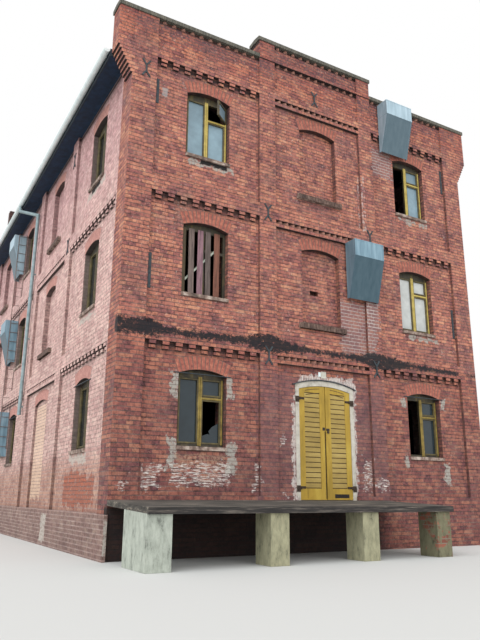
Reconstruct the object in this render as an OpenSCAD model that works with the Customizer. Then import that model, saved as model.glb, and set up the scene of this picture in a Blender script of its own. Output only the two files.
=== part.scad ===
// Three-storey brick factory building with a loading dock.
// Lengths are in millimetres. The front faces -Y and the building stands on z = 0.

/* [Brickwork] */
// Height of one course of bricks with its joint
course = 77; // [70:1:85]
// Thickness of the outer walls
wall_t = 510; // [380:10:640]
// Depth of the panels between the pilasters
recess = 65; // [40:5:90]
// Extra depth of the bricked-up windows behind the panels
blind_recess = 120; // [60:10:200]
// Depth of the slot that holds a row of dog-tooth bricks
tooth_slot = 80; // [65:5:100]
// Projection of the plinth
plinth_out = 60; // [20:5:120]
// Courses from the ground floor down to the top of the plinth
plinth_down = 3; // [2:1:6]
// Projection of the window sills in front of the panels
sill_out = 40; // [25:5:60]
// Height of the window sills
sill_h = 65; // [50:5:90]
// Overhang of a window sill past each side of its opening
sill_past = 8; // [4:2:40]
// Projection of the sills of the bricked-up windows
blind_sill_out = 70; // [40:5:100]
// Height of the sills of the bricked-up windows
blind_sill_h = 110; // [70:5:150]
// Overhang of a bricked-up window's sill past each side
blind_sill_past = 98; // [40:2:150]

/* [Front] */
// Width of the corner pilasters on the gables
front_corner = 515; // [400:5:700]
// Width of the two outer bays
outer_bay = 2405; // [2000:5:2800]
// Width of the inner pilasters
front_pilaster = 400; // [300:5:500]
// Width of the middle bay
middle_bay = 2370; // [2000:5:2800]

/* [Sides] */
// Width of the corner pilasters on the long sides
side_corner = 560; // [540:5:700]
// Width of the bays with windows
window_bay = 3230; // [2800:10:3800]
// Width of the bays with bricked-up openings
blind_bay = 2930; // [2400:10:3400]
// Width of the inner pilasters
side_pilaster = 450; // [300:5:600]

/* [Storeys] */
// Height of the dock and the ground floor above the ground
dock_h = 950; // [900:1:1100]
// Courses from the ground floor to the top of the first frieze
first_frieze = 36; // [34:1:40]
// Courses from one frieze to the next
storey_courses = 38; // [36:1:42]
// Courses between a frieze and the panel above it
flush_courses = 4; // [2:1:5]
// Thickness of the floors
floor_t = 200; // [120:10:300]

/* [Windows] */
// Width of the windows
window_w = 990; // [800:10:1100]
// Rise of the arches over the openings
arch_rise = 95; // [60:5:140]
// Courses from the springing of an arch up to the top of its frieze
spring_courses = 7; // [6:1:8]
// Courses from the sill to the springing on the ground floor
low_window_courses = 17; // [15:1:20]
// Courses from the sill to the springing on the upper floors
high_window_courses = 18; // [16:1:20]
// Width of the bricked-up windows
blind_w = 1000; // [800:10:1200]
// Courses from the sill to the springing of the bricked-up windows
blind_courses = 21; // [18:1:22]
// Distance from the panel face back to the window frames
frame_back = 120; // [80:5:180]
// Thickness of the window frames
frame_t = 60; // [40:5:80]
// Width of the frame members
frame_bar = 55; // [40:5:80]
// Thickness of the glass
glass_t = 5; // [3:1:8]
// Share of the right light that its top vent takes
vent_share = 0.27; // [0.2:0.01:0.4]
// Width of the bars of the vent sash that stands open
sash_bar = 35; // [25:1:50]
// Angle of that sash
vent_open = 40; // [10:1:60]
// Thickness of the planks that close one window
plank_t = 22; // [15:1:35]
// Number of planks in that window
plank_count = 6; // [4:1:7]
// Gap between two planks
plank_gap = 35; // [10:5:60]

/* [Door] */
// Width of the rendered surround of the doorway
surround_w = 1465; // [1420:5:1700]
// Width of the two leaves together, with the gap between them
leaves_w = 1280; // [1100:5:1290]
// Height of the springing of the leaves above the dock
leaf_spring = 2164; // [1900:1:2190]
// Rise of the leaves
leaf_rise = 88; // [60:1:110]
// Height of the springing of the surround above the dock
surround_spring = 2252; // [2240:1:2300]
// Rise of the surround
surround_rise = 113; // [90:1:150]
// Thickness of the leaves
leaf_t = 45; // [35:1:55]
// Gap between the two leaves
leaf_gap = 15; // [11:1:20]
// Gap between a leaf and the surround
edge_gap = 6; // [5:1:10]
// Gap under the leaves
foot_gap = 10; // [8:1:20]
// Width of the stiles of a leaf
stile_w = 130; // [60:5:160]
// Depth of the field between the stiles
field_in = 12; // [6:1:18]
// Height of the closed rail at the foot of a leaf
foot_rail = 230; // [150:10:320]
// Distance from the springing of the leaves down to the top of their fields
top_rail = 55; // [40:5:150]
// Projection of the surround in front of the panel
surround_out = 15; // [5:1:30]
// Distance from the face of the surround back to the leaves
leaf_back = 10; // [6:1:14]
// Width of the rebate behind the leaves
rebate_w = 25; // [15:1:35]
// Radius of the hinge pins
pin_r = 8; // [6:1:9]
// Clearance round the hinge pins
pin_play = 0.4; // [0.3:0.1:1]
// Distance from the pins to the front of the leaves
pin_out = 17; // [17:1:22]
// Length of the hinge straps
strap_l = 110; // [80:10:480]
// Height of the hinge straps
strap_h = 46; // [35:1:60]
// Thickness of the hinge straps
strap_t = 6; // [5:1:8]
// Height of the lower straps above the dock
low_strap = 220; // [150:10:400]
// Height of the upper straps above the dock
high_strap = 1955; // [1700:5:2050]
// Height of the hasp above the dock
hasp_up = 1360; // [1000:10:1600]

/* [Parapet] */
// Thickness of the parapets
parapet_t = 380; // [250:10:500]
// Courses from the top frieze to the lower coping
parapet_courses = 12; // [10:1:16]
// Courses from the lower coping to the attic coping
attic_courses = 6; // [4:1:8]
// Depth of the parapet panels
parapet_recess = 35; // [20:5:60]
// Steps in each kneeler
kneeler_steps = 8; // [4:1:9]
// Projection of each step of a kneeler
kneeler_step = 40; // [30:1:50]
// Height of the copings
cope_h = 115; // [70:5:150]
// Overhang of the copings
cope_over = 25; // [10:5:50]
// Projection of the string under the attic
string_out = 18; // [10:1:40]
// Height of that string
string_h = 60; // [40:1:77]

/* [Roof] */
// Pitch of the roof in degrees
roof_pitch = 12; // [8:1:14]
// Overhang of the eaves
eave_over = 330; // [320:10:600]
// Height of the roof's edge over the outer face of the walls
roof_seat = 180; // [120:5:220]
// Height of the roof's build-up
roof_t = 160; // [120:5:180]
// Thickness of the fascia boards
fascia_t = 25; // [20:1:35]
// Outer radius of the gutters
gutter_r = 65; // [50:1:80]
// Thickness of the sheet in the gutters
gutter_t = 3; // [2:1:5]
// Outer radius of the downpipes
pipe_r = 50; // [40:1:60]
// Distance from the wall to the axis of the downpipes
pipe_out = 85; // [80:1:110]
// Height of the broken lower end of the left downpipe
pipe_broken = 3100; // [2500:50:4000]
// Height of the lower end of the right downpipe above the plinth
pipe_foot = 40; // [20:10:400]
// Fall of the swan necks from the gutter to the wall
neck_fall = 495; // [300:5:700]
// Run of the swan necks along the wall
neck_run = 1100; // [600:10:1300]
// Width of the chimney
chimney_w = 300; // [260:10:640]
// Height of the chimney above the roof
chimney_h = 1850; // [600:50:2200]
// Distance of the chimney from the left wall's face
chimney_x = 40; // [20:10:1500]
// Distance of the chimney from the front
chimney_y = 13900; // [9000:100:15000]

/* [Dock] */
// Depth of the dock
dock_depth = 1800; // [1500:10:2200]
// Length of the dock from the left corner
dock_l = 5950; // [5600:10:6500]
// Thickness of the dock slab
dock_t = 90; // [70:5:150]
// Fall of the dock towards its edge
dock_fall = 80; // [20:5:100]
// Thickness of the edge plate
edge_t = 10; // [6:1:20]
// Depth of the edge plate past the slab's underside
edge_down = 5; // [0:1:10]
// Width of the first pier
big_pier_w = 390; // [300:10:500]
// Depth of the first pier
big_pier_d = 930; // [600:10:1200]
// Width of the other piers
pier_w = 340; // [300:10:450]
// Depth of the other piers
pier_d = 450; // [300:10:600]
// Distance of the piers behind the dock's edge
pier_back = 45; // [20:5:150]
// Distance of the second pier from the left corner
second_pier = 2030; // [1700:10:2200]
// Distance of the third pier from the left corner
third_pier = 3850; // [3500:10:4000]
// Distance of the last pier from the dock's end
last_pier_in = 60; // [20:10:150]

/* [Hoods] */
// Width of the sheet-metal hoods
hood_w = 820; // [600:10:900]
// Height of the hoods
hood_h = 1300; // [1000:10:1500]
// Projection of the hoods
hood_out = 330; // [250:10:400]
// Projection of the hoods at their foot
hood_foot = 70; // [50:5:120]
// Height of the upright band of the hoods
hood_band = 370; // [200:10:500]
// Thickness of the hoods' sheet
hood_t = 4; // [2:1:8]
// Distance of the lower front hood to the right of the middle
low_hood_x = 655; // [400:5:800]
// Distance of its top below the frieze over it
low_hood_down = 150; // [100:10:400]
// Distance of the upper front hood to the right of the middle
high_hood_x = 1840; // [1600:5:2200]
// Distance of its top below the lower coping
high_hood_down = 90; // [40:10:300]

/* [Irons] */
// Spacing of the rungs in the wall ladder
rung_pitch = 290; // [250:5:320]
// Radius of the rungs
rung_r = 8; // [6:1:12]
// Distance from the wall's face to the outside of the ladder
ladder_out = 200; // [150:10:320]
// Height of the ladder's foot
ladder_foot = 2325; // [2100:5:2700]
// Least distance from the ladder's head up to the top of the walls
ladder_down = 330; // [250:10:900]
// Thickness of the wall anchors
anchor_t = 16; // [10:1:25]
// Length of the wall anchors
anchor_l = 340; // [250:10:450]
// Width of the bars in the wall anchors
anchor_w = 32; // [20:1:60]
// Width of the upright straps on the wall
bar_w = 56; // [40:1:80]
// Distance from the corner pilasters to the middle of those straps
bar_in = 52; // [45:1:150]
// Lean of the arms of the wall anchors
anchor_lean = 35; // [20:1:45]

/* [Hidden] */
cut = 1;
seat = 0.3;
front_w = 2 * (front_corner + outer_bay + front_pilaster) + middle_bay;
side_l = 2 * (side_corner + window_bay + blind_bay + 2 * side_pilaster) + window_bay;
mid_x = front_w / 2;
mid_y = (side_l + plinth_out - dock_depth) / 2;
plinth_h = dock_h - plinth_down * course;
friezes = [for (s = [0:2]) dock_h + (first_frieze + s * storey_courses) * course];
wall_top = friezes[2];
floor_tops = [for (s = [0:2]) dock_h + s * storey_courses * course];
springs = [for (s = [0:2]) friezes[s] - spring_courses * course];
sills = [for (s = [0:2]) springs[s] - (s == 0 ? low_window_courses : high_window_courses) * course];
blind_sills = [for (s = [0:2]) springs[s] - blind_courses * course];
side_feet = [for (s = [0:2]) s == 0 ? plinth_h : friezes[s - 1] + flush_courses * course];
front_feet = [for (s = [0:2]) s == 0 ? dock_h + course : friezes[s - 1] + flush_courses * course];

// A bay is its start, its width and whether its openings are bricked up.
front_bays = [[front_corner, outer_bay, false],
    [front_corner + outer_bay + front_pilaster, middle_bay, true],
    [front_w - front_corner - outer_bay, outer_bay, false]];
side_step = window_bay + blind_bay + 2 * side_pilaster;
side_bays = [for (i = [0:4]) let (pair = floor(i / 2), odd = i % 2)
    [side_corner + pair * side_step + odd * (window_bay + side_pilaster),
        odd == 1 ? blind_bay : window_bay, odd == 1]];

door_x0 = mid_x - surround_w / 2;
door_x1 = mid_x + surround_w / 2;
surround_y = recess - surround_out;
leaf_y = surround_y + leaf_back;
leaf_w = (leaves_w - leaf_gap) / 2;
leaf_z = dock_h + leaf_spring;
surround_z = dock_h + surround_spring;
hole_w = leaves_w + 2 * edge_gap;
hole_r = arch_r(leaves_w, leaf_rise) + edge_gap;
hole_top = leaf_z + leaf_rise + edge_gap;
hole_rise = rise_of(hole_r, hole_w);
back_w = hole_w - 2 * rebate_w;
back_rise = rise_of(hole_r - rebate_w, back_w);
jamb_top = hole_top - hole_rise - rebate_w;
pin_y = leaf_y - pin_out;
pin_in = pin_r + strap_t;
hinge_xs = [mid_x - leaves_w / 2 + pin_in, mid_x + leaves_w / 2 - pin_in];
knuckle_r = pin_out - 1;
arm_h = 12;
plate_w = 90;

frame_y = recess + frame_back;
cope_z = wall_top + parapet_courses * course;
attic_z = cope_z + attic_courses * course;
attic_x0 = front_corner + outer_bay;
attic_x1 = front_w - attic_x0;
kneeler_out = kneeler_steps * kneeler_step;
kneeler_z = wall_top - (kneeler_steps - 1) * course;
gutter_x = -eave_over - fascia_t - gutter_r - seat;
gutter_z = wall_top + 85;
pipe_y = side_corner + window_bay + blind_bay + 1.9 * side_pilaster;
pipe_clear = 150;
clip_step = 1900;
elbow_r = pipe_r + 7;
hood_y = side_bays[2][0] + (window_bay + window_w) / 2 + 35;
hood_under = [316, 398, 479];
front_hood_tops = [[mid_x + low_hood_x, friezes[1] - low_hood_down],
    [mid_x + high_hood_x, cope_z - high_hood_down]];
ladder_y = hood_y - 10;
ladder_bar = 10;
rail_w = 20;
rung_up = 66;
ladder_room = wall_top - ladder_down - ladder_foot - 2 * rung_up;
rung_count = floor(ladder_room / rung_pitch) + 1;
ladder_top = ladder_foot + (rung_count - 1) * rung_pitch + 2 * rung_up;
flue_w = 0.3 * chimney_w;
flue_d = 400;
vent_w = 220;
vent_h = 100;
vent_d = 150;
pier_xs = [0, second_pier, third_pier, dock_l - pier_w - last_pier_in];

// Height of the roof's upper face over the distance x from the wall's face
function roof_z(x) = wall_top + roof_seat + x * tan(roof_pitch);
// Height of the dock's underside at the distance y in front of the wall
function dock_under(y) = dock_h - dock_t - dock_fall * y / dock_depth;
// Radius of an arch over a width with a rise
function arch_r(w, rise) = (w * w / 4 + rise * rise) / (2 * rise);
// Rise of an arch of a radius over a width
function rise_of(r, w) = r - sqrt(r * r - w * w / 4);
// Whether the height z is between a frieze and the panel above it
function flush_at(z) = (z > friezes[0] && z < side_feet[1]) || (z > friezes[1] && z < side_feet[2]);

// Puts the building's corner so that the origin is under the middle of its box
module site() {
    translate([-mid_x, -mid_y, 0]) children();
}

// Outline of an arched opening, centred on x = 0
module arch_outline(w, foot, spring, rise) {
    r = arch_r(w, rise);
    translate([-w / 2, foot]) square([w, spring - foot]);
    intersection() {
        translate([-w / 2, foot]) square([w, spring + rise - foot]);
        translate([0, spring + rise - r]) circle(r = r, $fn = 180);
    }
}

// Stands an outline upright between two depths
module upright(x, y0, y1) {
    translate([x, y1, 0]) rotate([90, 0, 0]) linear_extrude(height = y1 - y0) children();
}

// Runs an outline of depth and height along the wall from x0 to x1
module along(x0, x1) {
    translate([x0, 0, 0]) rotate([90, 0, 90]) linear_extrude(height = x1 - x0) children();
}

// Places a face of the building: its x runs to the right as seen from outside, its y inwards
module on_back() { translate([front_w, side_l, 0]) rotate([0, 0, 180]) children(); }
module on_left() { translate([0, side_l, 0]) rotate([0, 0, -90]) children(); }
module on_right() { translate([front_w, 0, 0]) rotate([0, 0, 90]) children(); }

// Sunk panel of one storey in one bay, with the slot for its dog-tooth row unless it is plain
module panel_cut(bay, foot, frieze, plain = false) {
    slotted = bay[2] && !plain;
    top = slotted ? frieze - 2 * course : frieze;
    translate([bay[0], -cut, foot]) cube([bay[1], recess + cut, top - foot]);
    if (slotted) translate([bay[0], -cut, frieze - course]) cube([bay[1], tooth_slot + cut, course]);
}

// Window hole, bricked-up window or bricked-up doorway in a bay
module opening_cut(bay, s, foot) {
    x = bay[0] + bay[1] / 2;
    if (!bay[2])
        upright(x, -cut, wall_t + cut) arch_outline(window_w, sills[s], springs[s], arch_rise);
    else if (s > 0)
        upright(x, -cut, recess + blind_recess)
            arch_outline(blind_w, blind_sills[s], springs[s], arch_rise);
    else
        upright(x, -cut, recess + blind_recess / 2)
            arch_outline(leaves_w, foot, springs[s], arch_rise);
}

// Panels and openings of the bays, from the storey first up. Under eaves the top panels are plain.
module bay_cuts(bays, feet, first = 0, eaves = false) {
    for (bay = bays)
        for (s = [first:2]) {
            panel_cut(bay, feet[s], friezes[s], eaves && s == 2);
            opening_cut(bay, s, feet[s]);
        }
}

// Long side between the gable walls
module side_wall() {
    difference() {
        union() {
            translate([wall_t, 0, 0]) cube([side_l - 2 * wall_t, wall_t, wall_top]);
            translate([-plinth_out, -plinth_out, 0])
                cube([side_l + 2 * plinth_out, plinth_out, plinth_h]);
        }
        bay_cuts(side_bays, side_feet, eaves = true);
    }
}

module left_wall() { color("#b9857b") site() on_left() side_wall(); }
module right_wall() { color("#b9857b") site() on_right() side_wall(); }

module gable_mass(x0, x1, z0, z1) {
    translate([x0, 0, z0]) cube([x1 - x0, wall_t, z1 - z0]);
}

module back_wall() {
    color("#a5594a") site() on_back() difference() {
        union() {
            gable_mass(0, front_w, 0, wall_top);
            translate([0, -plinth_out, 0]) cube([front_w, plinth_out, plinth_h]);
        }
        bay_cuts(front_bays, side_feet);
    }
}

module front_wall_left() {
    color("#a5594a") site() difference() {
        gable_mass(0, door_x0, 0, wall_top);
        bay_cuts([front_bays[0]], front_feet);
        middle_bay_cuts();
    }
}

module front_wall_right() {
    color("#a5594a") site() difference() {
        gable_mass(door_x1, front_w, 0, wall_top);
        bay_cuts([front_bays[2]], front_feet);
        middle_bay_cuts();
    }
}

// The middle bay has the doorway on the ground floor and bricked-up windows over it
module middle_bay_cuts() {
    panel_cut(front_bays[1], front_feet[0], friezes[0]);
    bay_cuts([front_bays[1]], front_feet, 1);
}

module front_wall_over_door() {
    color("#a5594a") site() difference() {
        gable_mass(door_x0, door_x1, surround_z, wall_top);
        middle_bay_cuts();
        upright(mid_x, -cut, wall_t + cut)
            arch_outline(surround_w, surround_z - course, surround_z, surround_rise);
        translate([mid_x - vent_w, -cut, blind_sills[1] + 9 * course])
            cube([vent_w, recess + blind_recess + vent_d, vent_h]);
    }
}

module front_wall_under_door() {
    color("#8f5146") site() gable_mass(door_x0, door_x1, 0, dock_h);
}

// Parapet with its kneelers, its attic over the middle bay and its sunk panels
module parapet() {
    slots = [for (bay = front_bays) [bay[0], bay[1], cope_z]];
    attic_bay = front_bays[1];
    difference() {
        union() {
            translate([0, 0, wall_top]) cube([front_w, parapet_t, cope_z - wall_top]);
            translate([-kneeler_out, 0, wall_top + course])
                cube([front_w + 2 * kneeler_out, parapet_t, cope_z - wall_top - course]);
            for (i = [1:kneeler_steps]) {
                z = kneeler_z + (i - 1) * course;
                translate([-i * kneeler_step, 0, z]) cube([i * kneeler_step, parapet_t, course]);
                translate([front_w, 0, z]) cube([i * kneeler_step, parapet_t, course]);
            }
            translate([attic_x0, 0, cope_z])
                cube([attic_x1 - attic_x0, parapet_t, attic_z - cope_z]);
            translate([attic_x0, -string_out, cope_z])
                cube([attic_x1 - attic_x0, string_out, string_h]);
        }
        for (slot = concat(slots, [[attic_bay[0], attic_bay[1], attic_z]]))
            translate([slot[0], -cut, slot[2] - course])
                cube([slot[1], recess + cut, course]);
        for (slot = slots)
            translate([slot[0], -cut, wall_top + 2 * course])
                cube([slot[1], parapet_recess + cut, cope_z - wall_top - 3 * course]);
        translate([attic_bay[0], -cut, cope_z + string_h])
            cube([attic_bay[1], parapet_recess + cut, attic_z - cope_z - string_h - course]);
    }
}

module front_parapet() { color("#a5594a") site() parapet(); }
module back_parapet() { color("#a5594a") site() on_back() parapet(); }

// Weathered coping along the wall from x0 to x1 at a height
module coping_run(x0, x1, z) {
    along(x0, x1) polygon([[-cope_over, z], [parapet_t + cope_over, z],
        [parapet_t + cope_over, z + 0.75 * cope_h], [parapet_t / 2, z + cope_h],
        [-cope_over, z + 0.75 * cope_h]]);
}

module copings() {
    coping_run(-kneeler_out - cope_over, attic_x0, cope_z);
    coping_run(attic_x1, front_w + kneeler_out + cope_over, cope_z);
    coping_run(attic_x0 - cope_over, attic_x1 + cope_over, attic_z);
}

module front_coping() { color("#6f6f68") site() copings(); }
module back_coping() { color("#6f6f68") site() on_back() copings(); }

module storey_floor(s) {
    translate([wall_t, wall_t, floor_tops[s] - floor_t])
        cube([front_w - 2 * wall_t, side_l - 2 * wall_t, floor_t]);
}

module ground_floor() { color("#7d7a74") site() storey_floor(0); }
module first_floor() { color("#8a7356") site() storey_floor(1); }
module second_floor() { color("#8a7356") site() storey_floor(2); }

// One slope of the roof, seated flat on the wall and sloping under the eaves
module roof_slope() {
    under = roof_z(-eave_over) - roof_t;
    translate([0, side_l - parapet_t, 0]) rotate([90, 0, 0])
        linear_extrude(height = side_l - 2 * parapet_t)
            polygon([[-eave_over, under], [0, wall_top], [wall_t, wall_top],
                [wall_t, roof_z(wall_t) - roof_t], [mid_x, roof_z(mid_x) - roof_t],
                [mid_x, roof_z(mid_x)], [-eave_over, roof_z(-eave_over)]]);
}

// Mirrors what is at the left eaves to the right eaves
module to_right() { translate([front_w, 0, 0]) mirror([1, 0, 0]) children(); }

module left_roof() { color("#3d4148") site() roof_slope(); }
module right_roof() { color("#3d4148") site() to_right() roof_slope(); }

module fascia() {
    top = roof_z(-eave_over);
    translate([-eave_over - fascia_t, parapet_t, top - roof_t])
        cube([fascia_t, side_l - 2 * parapet_t, roof_t]);
}

module fascia_boards() {
    color("#34393c") site() {
        fascia();
        to_right() fascia();
    }
}

// Half-round gutter under the roof's edge
module gutter() {
    run = side_l - 2 * parapet_t;
    translate([gutter_x, parapet_t, gutter_z]) rotate([-90, 0, 0]) difference() {
        cylinder(r = gutter_r, h = run, $fn = 64);
        translate([0, 0, gutter_t])
            cylinder(r = gutter_r - gutter_t, h = run - 2 * gutter_t, $fn = 64);
        translate([-gutter_r - cut, -gutter_r - cut, -cut])
            cube([2 * (gutter_r + cut), gutter_r + cut, run + 2 * cut]);
    }
}

module left_gutter() { color("#8f9a94") site() gutter(); }
module right_gutter() { color("#8f9a94") site() to_right() gutter(); }

// Sloping pipe between two points
module pipe(a, b) {
    d = b - a;
    flat = norm([d[0], d[1]]);
    translate(a) rotate([0, atan2(flat, d[2]), atan2(d[1], d[0])])
        cylinder(r = pipe_r, h = norm(d), $fn = 48);
}

// Downpipe with its swan neck under the gutter and its clips on the wall
module downpipe(foot) {
    outlet = gutter_z - gutter_r - seat;
    neck = [gutter_x, pipe_y + neck_run, outlet - pipe_clear];
    turn = neck[2] - neck_fall;
    clip = 40;
    above = 200;
    translate(neck) cylinder(r = pipe_r, h = outlet - neck[2], $fn = 48);
    pipe(neck, [-pipe_out, pipe_y, turn]);
    translate(neck) sphere(r = elbow_r, $fn = 48);
    translate([-pipe_out, pipe_y, turn]) sphere(r = elbow_r, $fn = 48);
    translate([-pipe_out, pipe_y, foot]) cylinder(r = pipe_r, h = turn - foot, $fn = 48);
    for (z = [foot + above:clip_step:turn - above])
        translate([-pipe_out, pipe_y - clip / 2, z]) cube([pipe_out, clip, clip]);
}

module left_downpipe() { color("#86948f") site() downpipe(pipe_broken); }
module right_downpipe() { color("#86948f") site() to_right() downpipe(plinth_h + pipe_foot); }

module chimney() {
    x1 = chimney_x + chimney_w;
    top = roof_z(x1) + chimney_h;
    side = (chimney_w - flue_w) / 2;
    color("#9a5a4b") site() difference() {
        translate([0, chimney_y + chimney_w, 0]) rotate([90, 0, 0])
            linear_extrude(height = chimney_w)
                polygon([[chimney_x, roof_z(chimney_x) + seat], [x1, roof_z(x1) + seat],
                    [x1, top], [chimney_x, top]]);
        translate([chimney_x + side, chimney_y + side, top - flue_d])
            cube([flue_w, flue_w, flue_d + cut]);
    }
}

module dock_slab() {
    y1 = dock_depth - edge_t;
    color("#55534f") site() along(0, dock_l)
        polygon([[0, dock_h], [0, dock_under(0)], [-y1, dock_under(y1)], [-y1, dock_under(y1) + dock_t]]);
}

module dock_edge() {
    low = dock_under(dock_depth) - edge_down;
    color("#3b3a3a") site() translate([0, -dock_depth, low])
        cube([dock_l, edge_t, dock_t + edge_down]);
}

// Piers cut to the underside of the dock
module dock_piers() {
    y1 = dock_depth - pier_back;
    color("#c9c5b4") site() for (i = [0:3]) {
        w = i == 0 ? big_pier_w : pier_w;
        y0 = y1 - (i == 0 ? big_pier_d : pier_d);
        along(pier_xs[i], pier_xs[i] + w)
            polygon([[-y1, 0], [-y0, 0], [-y0, dock_under(y0) - seat],
                [-y1, dock_under(y1) - seat]]);
    }
}

// Doorway through the surround: the leaves' space, then the narrower hole behind their rebate
module doorway(foot) {
    back = leaf_y + leaf_t + edge_gap;
    upright(mid_x, surround_y - cut, back)
        arch_outline(hole_w, foot, hole_top - hole_rise, hole_rise);
    upright(mid_x, back - cut, wall_t + cut)
        arch_outline(back_w, foot, hole_top - rebate_w - back_rise, back_rise);
}

module surround_mass(x0, x1, z0, z1) {
    difference() {
        translate([x0, surround_y, z0]) cube([x1 - x0, wall_t - surround_y, z1 - z0]);
        doorway(dock_h - cut);
    }
}

module door_jamb_left() {
    color("#cfcab4") site() surround_mass(door_x0, mid_x, dock_h, jamb_top);
}

module door_jamb_right() {
    color("#cfcab4") site() surround_mass(mid_x, door_x1, dock_h, jamb_top);
}

module door_arch() {
    color("#cfcab4") site() difference() {
        upright(mid_x, surround_y, wall_t)
            arch_outline(surround_w, jamb_top, surround_z, surround_rise);
        doorway(dock_h);
    }
}

// Both leaves in their closed place; side is -1 for the left one and 1 for the right one
module leaf(side) {
    x0 = side < 0 ? mid_x - leaves_w / 2 : mid_x + leaf_gap / 2;
    foot = dock_h + foot_gap;
    difference() {
        intersection() {
            upright(mid_x, leaf_y, leaf_y + leaf_t)
                arch_outline(leaves_w, foot, leaf_z, leaf_rise);
            translate([x0, leaf_y - cut, foot - cut])
                cube([leaf_w, leaf_t + 2 * cut, leaf_spring + leaf_rise + 2 * cut]);
        }
        translate([x0 + stile_w, leaf_y - cut, foot + foot_rail])
            cube([leaf_w - 2 * stile_w, field_in + cut, leaf_spring - foot_rail - top_rail - foot_gap]);
    }
}

module door_leaf_left() { color("#b49b3c") site() leaf(-1); }
module door_leaf_right() { color("#b49b3c") site() leaf(1); }

// Strap on the front of a leaf with its knuckle round the pin
module strap(side, z) {
    x = side < 0 ? hinge_xs[0] : hinge_xs[1];
    x0 = side < 0 ? x : x - strap_l;
    difference() {
        union() {
            translate([x0, leaf_y - strap_t, z]) cube([strap_l, strap_t, strap_h]);
            translate([x, pin_y, z]) cylinder(r = knuckle_r, h = strap_h, $fn = 48);
        }
        translate([x, pin_y, z - cut])
            cylinder(r = pin_r + pin_play, h = strap_h + 2 * cut, $fn = 48);
    }
}

module straps(side) {
    for (z = [low_strap, high_strap]) strap(side, dock_h + z);
}

module strap_hinges_left() { color("#5f4a35") site() straps(-1); }
module strap_hinges_right() { color("#5f4a35") site() straps(1); }

// Pin under and through a knuckle, on an arm that is fixed to the surround
module pintle(side, z) {
    x = side < 0 ? hinge_xs[0] : hinge_xs[1];
    reach = plate_w + pin_in + edge_gap;
    translate([x, pin_y, z - arm_h - seat])
        cylinder(r = pin_r, h = arm_h + strap_h + seat, $fn = 48);
    translate([side < 0 ? x - reach : x, pin_y - pin_r, z - arm_h - seat])
        cube([reach, surround_y - pin_y + pin_r, arm_h]);
    translate([side < 0 ? x - reach : x + reach - plate_w, surround_y - strap_t, z - 60])
        cube([plate_w, strap_t, 120]);
}

module door_pintles() {
    color("#4c4036") site() for (z = [low_strap, high_strap]) {
        pintle(-1, dock_h + z);
        pintle(1, dock_h + z);
    }
}

// Staple plate on the left leaf
module door_staple() {
    z = dock_h + hasp_up;
    color("#4b4f52") site() {
        translate([mid_x - leaf_gap / 2 - 70, leaf_y - 4, z]) cube([60, 4, 60]);
        translate([mid_x - leaf_gap / 2 - 44, leaf_y - 20, z + 24]) cube([8, 20, 12]);
    }
}

// Hasp folded back on the right leaf, with its padlock
module door_hasp() {
    z = dock_h + hasp_up;
    x = mid_x + leaf_gap / 2 + 8;
    color("#4b4f52") site() {
        translate([x, leaf_y - 5, z]) cube([80, 5, 45]);
        translate([x + 16, leaf_y - 23, z - 52]) cube([46, 18, 42]);
        translate([x + 22, leaf_y - 17, z - 20]) cube([6, 6, 44]);
        translate([x + 50, leaf_y - 17, z - 20]) cube([6, 6, 44]);
        translate([x + 22, leaf_y - 17, z + 18]) cube([34, 12, 6]);
    }
}

// Height of the middle of the transom under the vent
function vent_z(s) = springs[s] - frame_bar - vent_share * (springs[s] - sills[s]);

// Sheet of frame members: a frame with a mullion, a transom in the right light and a head
module window_frame(x, s) {
    top = springs[s];
    h = top - sills[s];
    vent = vent_z(s);
    upright(x, frame_y, frame_y + frame_t) {
        difference() {
            arch_outline(window_w, sills[s], top, arch_rise);
            translate([-window_w / 2 + frame_bar, sills[s] + frame_bar])
                square([window_w - 2 * frame_bar, h - 2 * frame_bar]);
        }
        translate([-frame_bar / 2, sills[s]]) square([frame_bar, h]);
        translate([0, vent - frame_bar / 2]) square([window_w / 2, frame_bar]);
    }
}

// Panes of one window; lights lists which of left, right and vent still have their glass
module window_glass(x, s, lights) {
    top = springs[s] - frame_bar;
    low = sills[s] + frame_bar;
    vent = vent_z(s);
    half = (window_w - 3 * frame_bar) / 2;
    y0 = frame_y + frame_t / 2;
    translate([x, y0, 0]) {
        if (lights[0]) translate([-frame_bar / 2 - half, 0, low]) cube([half, glass_t, top - low]);
        if (lights[1]) translate([frame_bar / 2, 0, low])
            cube([half, glass_t, vent - frame_bar / 2 - low]);
        if (lights[2]) translate([frame_bar / 2, 0, vent + frame_bar / 2])
            cube([half, glass_t, top - vent - frame_bar / 2]);
    }
}

module frames(bays) {
    for (bay = bays)
        if (!bay[2])
            for (s = [0:2]) window_frame(bay[0] + bay[1] / 2, s);
}

module panes(bays) {
    for (bay = bays)
        if (!bay[2])
            for (s = [0:2]) window_glass(bay[0] + bay[1] / 2, s, [true, true, true]);
}

// Vent sash on its right jamb, turned outwards: its bars, or its pane
module open_vent(x, s, pane) {
    half = (window_w - 3 * frame_bar) / 2;
    play = 4;
    h = vent_share * (springs[s] - sills[s]) - frame_bar / 2 - 2 * play;
    hole = [half - 2 * sash_bar, h - 2 * sash_bar];
    translate([x + window_w / 2 - frame_bar + play, frame_y + 2 * play, vent_z(s) + frame_bar / 2 + play])
        rotate([0, 0, vent_open]) translate([-half, -sash_bar, 0])
            if (pane) translate([sash_bar, sash_bar / 2, sash_bar]) cube([hole[0], glass_t, hole[1]]);
            else difference() {
                cube([half, sash_bar, h]);
                translate([sash_bar, -cut, sash_bar]) cube([hole[0], sash_bar + 2 * cut, hole[1]]);
            }
}

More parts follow.
